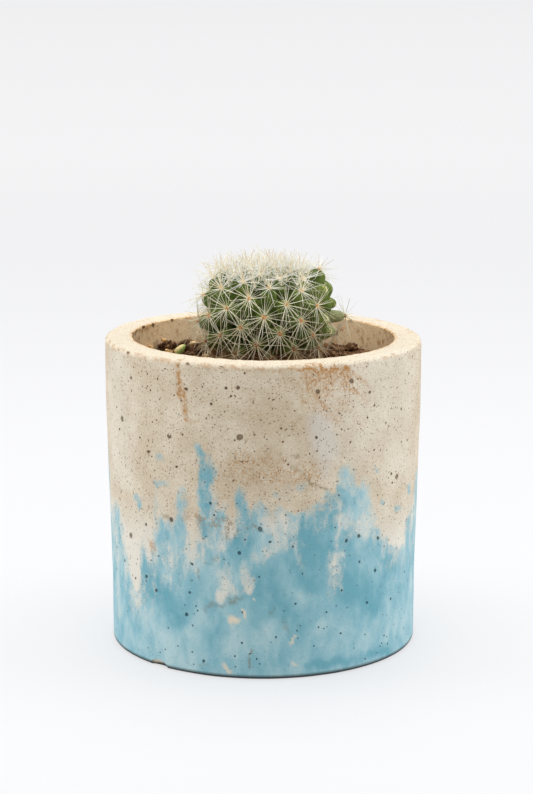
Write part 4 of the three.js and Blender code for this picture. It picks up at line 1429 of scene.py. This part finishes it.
@dataclass
class PottingMix:
    """The mix that fills the pot: a lumpy top with crumbs, and plain sides that the pot hides."""

    level: float = 88.5 * MM
    rings: int = 42
    sides: int = 160
    crumbs: int = 620
    plant: Pair = (-0.25 * MM, -1.7 * MM)
    mound_radius: float = 17 * MM
    clods: tuple[Triple, ...] = CLODS
    clod_crumbs: int = 130
    bit_room: float = 1.7 * MM
    finish: PottingFinish = field(default_factory=PottingFinish)

    def build(self) -> Piece:
        """Models the top and its crumbs.

        Returns:
            The finished mix.
        """
        low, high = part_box("soil")
        depth = self.level - low.z
        bpy.ops.mesh.primitive_cylinder_add(
            vertices=self.sides, radius=high.x, depth=depth, location=(0, 0, low.z + depth / 2)
        )
        bed = take("soil_bed")
        bpy.ops.object.transform_apply(location=True)
        with Editing(bed) as edit:
            edit.faces(lambda middle, normal: normal.z > 0.9)
            for _ in range(self.rings - 1):
                bpy.ops.mesh.inset(thickness=high.x / self.rings)
        rows = places_of(bed)
        top = rows[:, 2] > self.level - 0.1 * MM
        reach = np.hypot(rows[:, 0] - self.plant[0], rows[:, 1] - self.plant[1])
        relief = 0.9 * MM * cloud(rows, 6 * MM, 3) + 0.5 * MM * cloud(rows, 1.6 * MM, 9)
        relief += 1.6 * MM * step_up(self.mound_radius - reach, -4 * MM, 4 * MM)
        for bit in self.bits():
            gap = np.hypot(rows[:, 0] - bit.x, rows[:, 1] - bit.y)
            clear = step_up(gap, 0.8 * self.bit_room, 2 * self.bit_room)
            relief = np.where(relief > 0, relief * clear, relief)
        inward = step_up(high.x - np.hypot(rows[:, 0], rows[:, 1]), 0, 2 * MM)
        rows[:, 2] += np.where(top, relief * inward, 0)
        move_points(bed, rows)
        paint(bed, "dry", 0.55 * step_up(self.mound_radius + 3 * MM - reach, -3 * MM, 3 * MM))
        soil = joined("soil_mix", [bed, *self.loose_crumbs(high.x)])
        soil.data.materials.append(self.finish.material())
        smooth(soil, 60)
        hand_over(soil, ["soil"])
        return soil

    def bits(self) -> list[Vector]:
        """The middles of the chips and of the shed tubercle, which crumbs keep clear of."""
        loose = [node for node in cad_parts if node.startswith(("chip_", "shed_"))]
        return [(low + high) / 2 for low, high in map(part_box, loose)]

    def crumb_models(self) -> list[Piece]:
        """Models a few rough crumbs, of radius 1.

        Returns:
            The models.
        """
        models = []
        for index in range(4):
            bpy.ops.mesh.primitive_ico_sphere_add(subdivisions=2, radius=1, location=(3 * index, 0, 0))
            crumb = take(f"crumb_model_{index}")
            bpy.ops.object.transform_apply(location=True)
            roughen(crumb, 0.8, 0.9)
            modify(crumb, "DECIMATE", ratio=0.3)
            crumb.data.transform(Matrix.Translation((-3 * index, 0, 0)))
            models.append(crumb)
        return models

    def loose_crumbs(self, reach: float) -> list[Piece]:
        """Scatters crumbs over the mix, with the larger clods at the back.

        Args:
            reach: Radius of the mix.

        Returns:
            The crumbs.
        """
        rng = random.Random(23)
        models = self.crumb_models()
        clumps = []
        for x, y, radius in self.clods:
            middle = Vector((x, y, self.level / MM + 0.35 * radius))
            clumps.append((middle * MM, 0.82 * radius * MM, 0.0))
            for _ in range(self.clod_crumbs):
                way = Vector((rng.gauss(0, 1), rng.gauss(0, 1), 0.85 * abs(rng.gauss(0, 1)))).normalized()
                place = middle + Vector((way.x, way.y, 0.85 * way.z)) * radius * rng.uniform(0.75, 1.0)
                clumps.append((place * MM, rng.uniform(0.22, 0.62) * MM, rng.choice((0, 0, 0, 0.35))))
        for _ in range(self.crumbs):
            away = reach * math.sqrt(rng.uniform(0.10, 0.93))
            angle = rng.uniform(0, FULL_TURN)
            size = rng.triangular(0.3, 1.5, 0.4) * MM
            place = Vector((away * math.cos(angle), away * math.sin(angle), self.level + 0.45 * size))
            clumps.append((place, size, rng.choice((0, 0, 0.2, 0.6))))
        pieces = []
        bits = self.bits()
        for place, size, dry in clumps:
            if size < 1.6 * MM and any((place - bit).length < self.bit_room + size for bit in bits):
                continue
            lean = Vector((rng.uniform(-1, 1), rng.uniform(-1, 1), 1))
            matrix = aimed(place, lean, rng.uniform(0, FULL_TURN), size)
            crumb = copied(rng.choice(models), [matrix])[0]
            paint(crumb, "dry", dry)
            pieces.append(crumb)
        discard(*models)
        return pieces


@dataclass
class LooseBits:
    """Bark and grit chips, and a tubercle that the plant has shed, all lying on the mix."""

    bark: BarkFinish = field(default_factory=BarkFinish)
    shed: FleshFinish = FleshFinish(
        "shed_flesh", (0.50, 0.70, 0.20), (0.64, 0.78, 0.34), tip=(0.98, 0.74, 0.38)
    )
    shed_yaw: float = math.radians(8)
    shed_pitch: float = math.radians(44)
    shed_half: float = 2.15 * MM
    shed_girth: float = 1.25 * MM

    def build(self) -> list[Piece]:
        """Models each chip in its CAD node's place, and the shed tubercle.

        Returns:
            The finished pieces.
        """
        material = self.bark.material()
        chips = [self.chip(node, material) for node in sorted(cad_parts) if node.startswith("chip_")]
        return [*chips, self.shed_tubercle()]

    def chip(self, node: str, material: bpy.types.Material) -> Piece:
        """Models one chip: a split, bevelled flake that fills its CAD node's box.

        Args:
            node: The CAD node that it replaces.
            material: The bark finish.

        Returns:
            The chip.
        """
        low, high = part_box(node)
        rng = random.Random(node)
        bpy.ops.mesh.primitive_cube_add(size=1)
        flake = take(f"{node}_bark")
        with Editing(flake) as edit:
            edit.everything()
            bpy.ops.mesh.subdivide(number_cuts=3, smoothness=0.6)
            for _ in range(3):
                lean = Vector((rng.uniform(-1, 1), rng.uniform(-1, 1), rng.uniform(-0.4, 0.4))).normalized()
                edit.everything()
                bpy.ops.mesh.bisect(plane_co=lean * 0.42, plane_no=lean, use_fill=True, clear_outer=True)
            edit.everything()
            bpy.ops.mesh.subdivide(number_cuts=1)
        modify(flake, "SUBSURF", subdivision_type="SIMPLE", levels=1, render_levels=1)
        roughen(flake, 0.3, 0.14)
        rows = places_of(flake)
        spread = rows.max(0) - rows.min(0)
        rows = (rows - rows.min(0)) / spread * np.array(high - low) + np.array(low)
        rows[:, 2] -= 0.1 * MM
        move_points(flake, rows)
        paint(flake, "dry", rng.uniform(-0.2, 1))
        flake.data.materials.append(material)
        smooth(flake, 35)
        hand_over(flake, [node])
        return flake

    def shed_tubercle(self) -> Piece:
        """Models the shed tubercle: a finger that is green below and cream above.

        Returns:
            The finished piece.
        """
        low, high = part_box("shed_tubercle")
        middle = (low + high) / 2
        bpy.ops.mesh.primitive_uv_sphere_add(segments=24, ring_count=16, radius=1)
        finger = take("shed_finger")
        rows = places_of(finger)
        along = rows[:, 2].copy()
        girth = self.shed_girth * (1 - 0.2 * along)
        rows[:, :2] *= girth[:, None]
        rows[:, 2] *= self.shed_half
        move_points(finger, rows)
        for name in ("bare", "depth", "cork", "hoary"):
            paint(finger, name, 0)
        level = math.cos(self.shed_pitch)
        rise = math.sin(self.shed_pitch)
        direction = Vector((level * math.cos(self.shed_yaw), level * math.sin(self.shed_yaw), rise))
        finger.data.transform(aimed(middle, direction))
        above = (places_of(finger) - np.array(middle)) @ np.array((-rise, 0, level))
        paint(finger, "tip", step_up(above, -0.1 * MM, 0.5 * MM))
        roughen(finger, 1.5 * MM, 0.3 * MM)
        finger.data.materials.append(self.shed.material())
        smooth(finger, 60)
        hand_over(finger, ["shed_tubercle"])
        return finger


# The cactus


# Tubercles that grew unlike their neighbours, by their order from the apex,
# as (extra length in mm, sweep, girth)
GROWN = {
    19: (2.4, 0.8, 1.25), 23: (-4, 0.28, 1), 31: (-3.4, 0.28, 1), 32: (2.3, 1.1, 1.3), 36: (-4.3, 0.28, 1),
    39: (-1.4, 0.28, 1), 40: (0.6, 0.85, 1), 44: (-4, 0.28, 1), 45: (6.4, -0.3, 0.86), 52: (-2, 0.28, 1),
    57: (-4.1, 0.28, 1), 61: (1.7, 0.5, 0.78), 65: (-3, 0.28, 1), 70: (-2.6, 0.28, 1),
}


# How yellow the tips of the flank's bare tubercles are worn, by order, where it isn't 1
WORN_TIPS = {19: 0.2, 27: 0.65, 32: 0.15, 40: 0, 45: 0.7, 48: 0.65, 61: 0.6}


class Cover(Enum):
    """What an areole carries."""

    SPINY = "spiny"
    BARE = "bare"
    BUD = "bud"


@dataclass(frozen=True)
class Areole:
    """One tubercle's tip: its rank from the apex, its place and direction, and what it carries."""

    order: int
    tip: Vector
    direction: Vector
    length: float
    girth: float
    cover: Cover


@dataclass(frozen=True)
class Barrel:
    """The surface that the tubercles' tips lie on, and the spiral that spaces them evenly over it."""

    radius: float = 20.94 * MM
    half_height: float = 13.64 * MM
    centre_z: float = 105.43 * MM
    power: float = 3.6
    end: float = 0.8 * math.pi
    share: float = 55.1 * MM * MM
    first_share: float = -1.448
    first_azimuth: float = 1.656
    place: Pair = (-0.25 * MM, -1.7 * MM)
    lean_forward: float = 0.0815
    lean_right: float = 0.0074
    lean_pivot: float = 88 * MM
    tubercle: float = 8 * MM
    sweep: float = 0.28
    lowest_slope: float = -0.25
    flank_from: float = math.radians(-27)
    flank_to: float = math.radians(32)
    flank_top: float = 114.5 * MM
    bare_extra: float = 1.5 * MM
    long_from: float = math.radians(5)
    long_top: float = 105 * MM
    long_extra: float = 5.6 * MM
    long_girth: float = 0.86
    bud_share: float = 13 * MM * MM
    bud_reach: float = 16 * MM
    bud_depth: float = 1.0 * MM

    def outline(self, angle: np.ndarray) -> tuple[np.ndarray, np.ndarray]:
        """Radius and height for an angle that runs from 0 at the apex.

        Args:
            angle: The angles.

        Returns:
            Each angle's radius and height.
        """
        away = self.radius * self.bulge(np.sin(angle))
        return away, self.centre_z + self.half_height * self.bulge(np.cos(angle))

    def bulge(self, value: np.ndarray) -> np.ndarray:
        """Squares off a sine or a cosine by the barrel's power."""
        return np.sign(value) * np.abs(value) ** (2 / self.power)

    def lean(self) -> Matrix:
        """The plant's lean."""
        return Matrix.Rotation(self.lean_forward, 4, "X") @ Matrix.Rotation(-self.lean_right, 4, "Y")

    def placed(self, point: Vector) -> Vector:
        """A point of the upright plant, leaned and moved to the plant's place."""
        pivot = Vector((0, 0, self.lean_pivot))
        return self.lean() @ (point - pivot) + pivot + Vector((*self.place, 0))

    def areoles(self) -> list[Areole]:
        """Every areole, from the apex down.

        Returns:
            The areoles.
        """
        radius, height = self.outline(np.linspace(0, self.end, 401))
        run = np.hypot(np.diff(radius), np.diff(height))
        area = np.concatenate([[0], np.cumsum(math.pi * run * (radius[1:] + radius[:-1]))])
        found = []
        order = 1
        while (order + self.first_share) * self.share < area[-1]:
            passed = max(0.0, (order + self.first_share) * self.share)
            step = int(np.clip(np.searchsorted(area, passed, side="right"), 1, len(area) - 1))
            azimuth = self.first_azimuth - order * GOLDEN_ANGLE
            around = Vector((math.cos(azimuth), math.sin(azimuth), 0))
            outward = height[step - 1] - height[step]
            upward = radius[step] - radius[step - 1]
            normal = (self.lean() @ (around * outward + UP * upward)).normalized()
            away, up = (float(np.interp(passed, area, values)) for values in (radius, height))
            found.append(self.areole(order, self.placed(around * away + UP * up), normal, azimuth))
            order += 1
        return found

    def buds(self) -> list[Areole]:
        """The youngest areoles, close together between the tubercles of the flat top.

        Returns:
            The youngest areoles.
        """
        found = []
        count = int(math.pi * self.bud_reach**2 / self.bud_share)
        for index in range(count):
            away = math.sqrt((index + 0.5) * self.bud_share / math.pi)
            azimuth = 0.7 + index * GOLDEN_ANGLE
            around = Vector((math.cos(azimuth), math.sin(azimuth), 0))
            fall = 1 - (away / self.radius) ** self.power
            height = self.centre_z + self.half_height * fall ** (1 / self.power) - self.bud_depth
            direction = (self.lean() @ (UP + 0.3 * around * away / self.bud_reach)).normalized()
            place = self.placed(around * away + UP * height)
            found.append(Areole(0, place, direction, self.tubercle, 1, Cover.BUD))
        return found

    def areole(self, order: int, tip: Vector, normal: Vector, azimuth: float) -> Areole:
        """One areole, with what the worn right flank does to it.

        Args:
            order: Its rank from the apex.
            tip: Its place on the barrel.
            normal: The way that the barrel faces there.
            azimuth: Its angle round the plant.

        Returns:
            The areole.
        """
        azimuth = (azimuth + math.pi) % FULL_TURN - math.pi
        on_flank = self.flank_from < azimuth < self.flank_to and tip.z < self.flank_top
        is_long = on_flank and azimuth > self.long_from and tip.z < self.long_top
        extra = self.long_extra if is_long else self.bare_extra if on_flank else 0
        sweep = 0 if is_long else self.sweep
        girth = self.long_girth if is_long else 1
        if order in GROWN:
            extra, sweep, girth = GROWN[order]
            extra *= MM
        direction = Vector((normal.x, normal.y, max(normal.z, self.lowest_slope) + sweep)).normalized()
        cover = Cover.BARE if on_flank and not is_long else Cover.SPINY
        return Areole(order, tip + direction * extra, direction, self.tubercle + extra, girth, cover)


@dataclass
class CactusBody:
    """Stem and tubercles, grown together into one skin."""

    barrel: Barrel
    areoles: list[Areole]
    inset: float = 6.2 * MM
    stem_radius: float = 13 * MM
    stem_foot: float = 80 * MM
    root_radius: float = 3.3 * MM
    tip_radius: float = 2.05 * MM
    voxel: float = 0.4 * MM
    dried_place: Triple = (-18.5 * MM, -9 * MM, 94 * MM)
    dried_reach: float = 5 * MM
    finish: FleshFinish = field(default_factory=FleshFinish)

    def build(self) -> Piece:
        """Models the core and the tubercles, and melts them together.

        Returns:
            The finished body.
        """
        finger = self.tubercle_model()
        rng = random.Random(2)
        matrices = []
        for areole in self.areoles:
            girth = areole.girth * (rng.uniform(0.94, 1.06) if areole.girth == 1 else 1)
            shape = Matrix.Diagonal((girth, girth, areole.length / self.barrel.tubercle, 1))
            matrices.append(aimed(areole.tip, areole.direction, rng.uniform(0, FULL_TURN)) @ shape)
        body = joined("cactus_body", [self.core(), *copied(finger, matrices)])
        discard(finger)
        modify(body, "REMESH", mode="VOXEL", voxel_size=self.voxel)
        modify(body, "SMOOTH", factor=0.5, iterations=4)
        self.dress(body)
        return body

    def tubercle_model(self) -> Piece:
        """Models a tubercle with its tip at the origin: a tapering finger with a rounded end.

        Returns:
            The model.
        """
        length = self.barrel.tubercle
        bpy.ops.mesh.primitive_cone_add(
            vertices=20, radius1=self.root_radius, radius2=self.tip_radius,
            depth=length, location=(0, 0, -length / 2),
        )
        finger = take("tubercle_model")
        bpy.ops.object.transform_apply(location=True)
        with Editing(finger) as edit:
            edit.faces(lambda middle, normal: normal.z > 0.9)
            bpy.ops.mesh.bevel(offset=1.6 * MM, segments=5, profile=0.5)
        return finger

    def core(self) -> Piece:
        """Models the core: a ball flattened into the barrel's shape, on a stem that goes into the mix.

        Returns:
            The core with its stem.
        """
        bpy.ops.mesh.primitive_uv_sphere_add(segments=40, ring_count=24, radius=1)
        core = take("core_model")
        rows = places_of(core)
        angle = np.arccos(np.clip(rows[:, 2], -1, 1))
        around = np.arctan2(rows[:, 1], rows[:, 0])
        radius, height = self.barrel.outline(angle)
        shrink = 1 - self.inset / self.barrel.radius
        drop = 1 - self.inset / self.barrel.half_height
        radius = radius * shrink
        height = self.barrel.centre_z + (height - self.barrel.centre_z) * drop
        move_points(core, np.stack([radius * np.cos(around), radius * np.sin(around), height], axis=1))
        bpy.ops.mesh.primitive_cylinder_add(
            vertices=40, radius=self.stem_radius, depth=20 * MM, location=(0, 0, self.stem_foot + 10 * MM)
        )
        stem = take("stem_model")
        bpy.ops.object.transform_apply(location=True)
        whole = joined("core_model", [core, stem])
        whole.data.transform(Matrix.Translation((*self.barrel.place, 0)))
        return whole

    def dress(self, body: Piece) -> None:
        """Paints the tips, painted shade in the hollows and low down, and the corky foot, and gives the
        body its finish.

        Args:
            body: The plant's body.
        """
        rows = places_of(body)
        tips = np.array([areole.tip for areole in self.areoles])
        gaps = np.linalg.norm(rows[:, None, :] - tips[None], axis=2)
        nearest = gaps.argmin(axis=1)
        bare = np.array([areole.cover is Cover.BARE for areole in self.areoles], float)
        gap = gaps.min(axis=1)
        bald = bare[nearest]
        worn = np.array([WORN_TIPS.get(areole.order, 1.0) for areole in self.areoles])[nearest]
        paint(body, "tip", (0.7 + 0.35 * bald) * worn * np.exp(-((gap / ((1.1 + 1.3 * bald) * MM)) ** 2)))
        is_long = [areole.length > self.barrel.tubercle + 2.5 * MM for areole in self.areoles]
        long = np.array(is_long, float)[nearest]
        upper = step_up(-gap, -9 * MM, -4 * MM)
        paint(body, "bare", 0.8 * np.maximum(bald, long) * (0.3 + 0.7 * worn) * upper)
        paint(body, "hoary", long * (1 - bald) * step_up(-gap, -8 * MM, -4 * MM))
        # Painted shade: darker the farther a point lies from a tubercle's tip, less near the top and on
        # bare tubercles, and darker again low on the body.
        low = 1 - 0.45 * step_up(rows[:, 2], 94 * MM, 106 * MM)
        shade = 0.35 * step_up(-rows[:, 2], -102 * MM, -92 * MM)
        hollow = (1 - 0.3 * bald) * low * step_up(gap, (3.8 - low) * MM, 6.6 * MM)
        paint(body, "depth", np.maximum(hollow, shade))
        from_dried = np.linalg.norm(rows - np.array(self.dried_place), axis=1)
        dried = np.exp(-((from_dried / self.dried_reach) ** 2))
        paint(body, "cork", np.maximum(1.2 * step_up(-rows[:, 2], -99 * MM, -91 * MM), 0.9 * dried))
        body.data.materials.append(self.finish.material())
        smooth(body, 180)
        hand_over(body, ["cactus"])


@dataclass(frozen=True)
class StarKind:
    """One kind of spine cluster: how many are modelled, and how many stout and fine spines each has.

    Lift is the lowest and highest slope of a spine, stretch its length against a radial spine's,
    and dull how grey the fine ones look.
    """

    copies: int
    stout: int
    lift: Pair
    stretch: float
    fine: int
    dull: float = 0


@dataclass
class SpineCoat:
    """The spines: a flat star at each areole, with upright spines that are long on young ones."""

    areoles: list[Areole]
    buds: list[Areole]
    soil: float = 88.5 * MM
    clearance: float = 0.8 * MM
    full: StarKind = StarKind(5, 14, (0.02, 0.5), 1.0, 13, 1)
    sparse: StarKind = StarKind(2, 5, (0.1, 1.0), 0.7, 4)
    swept: StarKind = StarKind(2, 15, (-0.8, 0.9), 0.92, 9)
    downy: StarKind = StarKind(5, 13, (-0.3, 1.0), 0.92, 16)
    crown: StarKind = StarKind(5, 3, (1.0, 4.0), 0.7, 0)
    bud_down: StarKind = StarKind(5, 0, (0.4, 2.5), 0.55, 6)
    bud_needles: StarKind = StarKind(5, 1, (1.2, 5.0), 0.7, 1)
    stub: StarKind = StarKind(5, 3, (1.2, 3.0), 0.36, 0)
    hang: float = 0.12
    sag: float = 0.35
    facing: float = 1.5
    waver: float = 0.1
    most_turn: float = 0.4
    turned_until: int = 8
    radial_length: float = 8.0 * MM
    length_spread: Pair = (0.72, 1.08)
    radial_girth: float = 0.115 * MM
    fine_share: float = 0.6
    point_girth: float = 0.04 * MM
    ring: float = 0.6 * MM
    upturn: float = 0.06
    young_until: int = 26
    downy_until: int = 33
    stunted: float = 6.3 * MM
    drawn_out: float = 10.2 * MM
    long_age: float = 0.35
    low_band: float = 6.5 * MM
    fresh_until: int = 30
    old_from: int = 34
    old_to: int = 74
    white: SpineFinish = SpineFinish("white_spines", (0.91, 0.89, 0.71), (0.78, 0.65, 0.38))
    tawny: SpineFinish = SpineFinish(
        "tawny_spines", (0.80, 0.64, 0.35), (0.58, 0.40, 0.17), (0.86, 0.72, 0.44), 0.8
    )

    def build(self) -> list[Piece]:
        """Models the radial and the upright spines.

        Returns:
            The two finished pieces.
        """
        rng = random.Random(41)
        flat_kinds = (self.full, self.sparse, self.swept, self.downy)
        upright_kinds = (self.crown, self.bud_down, self.bud_needles, self.stub)
        stars = {}
        for kind in (*flat_kinds, *upright_kinds):
            stars[kind] = [self.star(rng, kind) for _ in range(kind.copies)]
        radials = []
        uprights = []
        for areole in self.areoles:
            if areole.cover is not Cover.SPINY:
                continue
            flat, upright = self.kinds_for(areole)
            radials += self.stood(rng.choice(stars[flat]), areole, rng, self.facing)
            uprights += self.stood(rng.choice(stars[upright]), areole, rng)
        for bud in self.buds:
            radials += self.stood(rng.choice(stars[self.bud_down]), bud, rng)
            uprights += self.stood(rng.choice(stars[self.bud_needles]), bud, rng)
        for group in stars.values():
            discard(*group)
        return [
            self.dress("radial_spines", radials, self.white),
            self.dress("upright_spines", uprights, self.tawny),
        ]

    def kinds_for(self, areole: Areole) -> tuple[StarKind, StarKind]:
        """Chooses what an areole carries, by its age and by how its tubercle grew.

        Args:
            areole: The areole.

        Returns:
            Its flat star and its upright spines.
        """
        is_stunted = areole.length < self.stunted or areole.tip.z < self.soil + self.low_band
        is_young = areole.order <= self.young_until and not is_stunted
        flat = self.sparse if is_stunted else self.full
        if areole.order <= self.downy_until and not is_stunted:
            flat = self.downy
        if areole.length > self.drawn_out:
            flat = self.swept
        return flat, self.crown if is_young else self.stub

    def spine_model(self) -> Piece:
        """Models one spine along +X: a slim cone, painted from root to point.

        Returns:
            The model, one metre long.
        """
        bpy.ops.mesh.primitive_cone_add(
            vertices=4, radius1=self.radial_girth, radius2=self.point_girth,
            depth=1, end_fill_type="NOTHING",
        )
        spine = take("spine_model")
        with Editing(spine) as edit:
            edit.everything()
            for share in (-0.1, 0.25):
                edit.everything()
                bpy.ops.mesh.bisect(plane_co=(0, 0, share), plane_no=(0, 0, 1))
        rows = places_of(spine)
        along = rows[:, 2] + 0.5
        paint(spine, "along", along)
        move_points(spine, np.stack([along, rows[:, 1], rows[:, 0]], axis=1))
        return spine

    def star(self, rng: random.Random, kind: StarKind) -> Piece:
        """Models one cluster round +Z.

        Args:
            rng: Draws the spread.
            kind: Which kind of cluster.

        Returns:
            The cluster.
        """
        spine = self.spine_model()
        spines = []
        for share, number, sag in ((1.0, kind.stout, self.sag), (self.fine_share, kind.fine, -self.sag)):
            matrices = []
            offset = rng.uniform(0, 1)
            for index in range(number):
                angle = FULL_TURN * (index + offset + rng.uniform(-0.42, 0.42)) / number
                angle -= sag * math.cos(angle)
                slope = math.atan(rng.uniform(*kind.lift))
                length = self.radial_length * kind.stretch * rng.uniform(*self.length_spread)
                length *= 1 - self.hang * math.sin(angle)
                turn = Matrix.Rotation(angle, 4, "Z") @ Matrix.Rotation(-slope, 4, "Y")
                root = Matrix.Translation((self.ring * math.cos(slope), 0, 0))
                matrices.append(turn @ root @ Matrix.Diagonal((length, share, share, 1)))
            paint(spine, "dull", kind.dull if share < 1 else 0)
            spines += copied(spine, matrices)
        star = joined("star_model", spines)
        discard(spine)
        return star

    def stood(self, star: Piece, areole: Areole, rng: random.Random, facing: float = 1) -> list[Piece]:
        """Copies a cluster onto an areole, turned and sized a little at random.

        Args:
            star: The cluster.
            areole: Where it stands.
            rng: Draws its turn and size.
            facing: How much more than the tubercle it faces outward.

        Returns:
            The copy, in a list.
        """
        turn = rng.uniform(-self.most_turn, self.most_turn)
        if areole.order <= self.turned_until:
            turn = rng.uniform(0, FULL_TURN)
        size = rng.uniform(0.92, 1.06)
        outward = Vector((areole.direction.x * facing, areole.direction.y * facing, areole.direction.z))
        outward += Vector((rng.gauss(0, self.waver), rng.gauss(0, self.waver), 0))
        upturned = (outward + UP * self.upturn).normalized()
        stood = copied(star, [aimed(areole.tip + areole.direction * 0.2 * MM, upturned, turn, size)])
        age = float(np.clip((areole.order - self.old_from) / (self.old_to - self.old_from), 0, 1))
        if areole.length > self.drawn_out:
            age *= self.long_age
        paint(stood[0], "age", age)
        paint(stood[0], "fresh", 1 - step_up(np.float64(areole.order), 8, self.fresh_until))
        self.cut_short(stood[0], areole)
        return stood

    def cut_short(self, cluster: Piece, areole: Areole) -> None:
        """Shortens the spines that would reach into the mix, so that they end just above it.

        Args:
            cluster: The cluster on its areole.
            areole: The areole.
        """
        rows = places_of(cluster)
        middle = np.array(areole.tip)
        floor = self.soil + self.clearance
        below = rows[:, 2] < floor
        share = (middle[2] - floor) / np.maximum(middle[2] - rows[:, 2], 1e-6)
        rows[below] = middle + (rows[below] - middle) * np.clip(share[below], 0.05, 1)[:, None]
        move_points(cluster, rows)

    def dress(self, name: str, clusters: list[Piece], finish: SpineFinish) -> Piece:
        """Joins clusters and gives them their finish.

        Args:
            name: The coat's name.
            clusters: All that it is made of.
            finish: Its finish.

        Returns:
            The finished coat.
        """
        coat = joined(name, clusters)
        coat.data.materials.append(finish.material())
        hand_over(coat)
        return coat


@dataclass
class AreoleWool:
    """A small felt pad with short fibres at each areole."""

    areoles: list[Areole]
    pad_radius: float = 0.74 * MM
    rise: float = 0.24 * MM
    young_swell: float = 0.6
    finish: WoolFinish = field(default_factory=WoolFinish)

    def build(self) -> Piece:
        """Models a pad, copies it to each areole and paints its age.

        Returns:
            The finished wool.
        """
        bpy.ops.mesh.primitive_ico_sphere_add(subdivisions=3, radius=self.pad_radius)
        pad = take("pad_model")
        with Editing(pad) as edit:
            edit.everything()
            bpy.ops.transform.resize(value=(1, 1, 0.62))
        roughen(pad, 0.35 * MM, 0.3 * MM)
        rng = random.Random(5)
        pieces = []
        for areole in self.areoles:
            if areole.cover is Cover.BARE:
                continue
            size = rng.uniform(0.8, 1.05) * (1 + self.young_swell * max(0, 1 - areole.order / 24))
            place = areole.tip + areole.direction * self.rise
            copy = copied(pad, [aimed(place, areole.direction, rng.uniform(0, FULL_TURN), size)])[0]
            paint(copy, "age", min(1.0, areole.order / 70) + rng.uniform(-0.08, 0.08))
            pieces.append(copy)
        discard(pad)
        wool = joined("areole_wool", pieces)
        wool.data.materials.append(self.finish.material())
        smooth(wool, 180)
        hand_over(wool)
        return wool


@dataclass
class Cactus:
    """The plant: its body, its wool and its spines."""

    barrel: Barrel = field(default_factory=Barrel)

    def build(self) -> list[Piece]:
        """Builds the plant from its spiral of areoles.

        Returns:
            The finished pieces.
        """
        areoles = self.barrel.areoles()
        body = CactusBody(self.barrel, areoles).build()
        wool = AreoleWool(areoles).build()
        return [body, wool, *SpineCoat(areoles, self.barrel.buds()).build()]


# The studio


@dataclass(frozen=True)
class Softbox:
    """A rectangular lamp: its place, what it faces, its width and height, its watts and its tint."""

    name: str
    place: Triple
    target: Triple
    size: Pair
    power: float
    tint: Triple = (1, 1, 1)

    def hang(self) -> None:
        """Hangs the lamp."""
        bpy.ops.object.light_add(type="AREA", location=self.place)
        lamp = bpy.context.object
        lamp.name = self.name
        lamp.data.shape = "RECTANGLE"
        lamp.data.size, lamp.data.size_y = self.size
        lamp.data.energy = self.power
        lamp.data.color = self.tint
        way = Vector(self.target) - Vector(self.place)
        lamp.rotation_euler = way.to_track_quat("-Z", "Y").to_euler()


# The lamp above, and one on each side
LAMPS = (
    Softbox("top_softbox", (0, 0.05, 0.75), (0, 0, 0.09), (0.7, 0.7), 3.4),
    Softbox("left_softbox", (-0.75, 0.05, 0.28), (0, 0, 0.07), (0.5, 0.7), 2.5, (0.94, 0.98, 1.06)),
    Softbox("right_softbox", (0.75, 0.05, 0.28), (0, 0, 0.07), (0.5, 0.7), 2.5, (0.94, 0.98, 1.06)),
)


@dataclass
class Studio:
    """A white paper floor, soft lights on both sides and above, and the camera."""

    floor_radius: float = 9.0
    floor_middle: float = 1.0
    floor_inset: float = 0.6
    lamps: tuple[Softbox, ...] = LAMPS
    world_light: float = 0.64
    world_seen: float = 0.88
    camera_place: Triple = (1.018 * MM, -705.06 * MM, 228.38 * MM)
    camera_pitch: float = 0.2106
    focal_length: float = 102.6
    sensor: float = 36.0
    paper: SweepFinish = field(default_factory=SweepFinish)

    def build(self) -> None:
        """Lays the floor, hangs the lights and sets up the camera."""
        self.lay_floor()
        for lamp in self.lamps:
            lamp.hang()
        self.fill_air()
        bpy.context.scene.view_settings.view_transform = "Standard"
        self.set_camera()

    def fill_air(self) -> None:
        """Lights the studio's air evenly, a little brighter where the camera sees it."""
        world = bpy.data.worlds.new("studio_air")
        world.use_nodes = True
        background = world.node_tree.nodes["Background"]
        background.inputs["Color"].default_value = (1, 1, 1, 1)
        seen = world.node_tree.nodes.new("ShaderNodeLightPath")
        strength = world.node_tree.nodes.new("ShaderNodeMapRange")
        world.node_tree.links.new(seen.outputs["Is Camera Ray"], strength.inputs["Value"])
        strength.inputs["To Min"].default_value = self.world_light
        strength.inputs["To Max"].default_value = self.world_seen
        world.node_tree.links.new(strength.outputs["Result"], background.inputs["Strength"])
        bpy.context.scene.world = world

    def lay_floor(self) -> None:
        """Lays the paper: a wide disc with a finer middle."""
        bpy.ops.mesh.primitive_circle_add(vertices=96, radius=self.floor_radius, fill_type="NGON")
        floor = take("studio_floor")
        with Editing(floor) as edit:
            edit.faces(lambda middle, normal: True)
            bpy.ops.mesh.inset(thickness=self.floor_radius - self.floor_middle)
            bpy.ops.mesh.inset(thickness=self.floor_inset)
        floor.data.materials.append(self.paper.material())

    def set_camera(self) -> None:
        """Puts the camera where the photograph was taken from."""
        tilt = math.pi / 2 - self.camera_pitch
        bpy.ops.object.camera_add(location=self.camera_place, rotation=(tilt, 0, 0))
        camera = bpy.context.object
        camera.data.sensor_width = self.sensor
        camera.data.lens = self.focal_length
        camera.data.clip_start = 0.01
        camera.data.clip_end = 50
        bpy.context.scene.camera = camera


def main() -> None:
    """Builds the object and the studio round it."""
    logging.basicConfig(level=logging.INFO, format="%(name)s %(message)s")
    Studio().build()
    ConcretePot().build()
    PottingMix().build()
    LooseBits().build()
    Cactus().build()


if __name__ == "__main__":
    main()
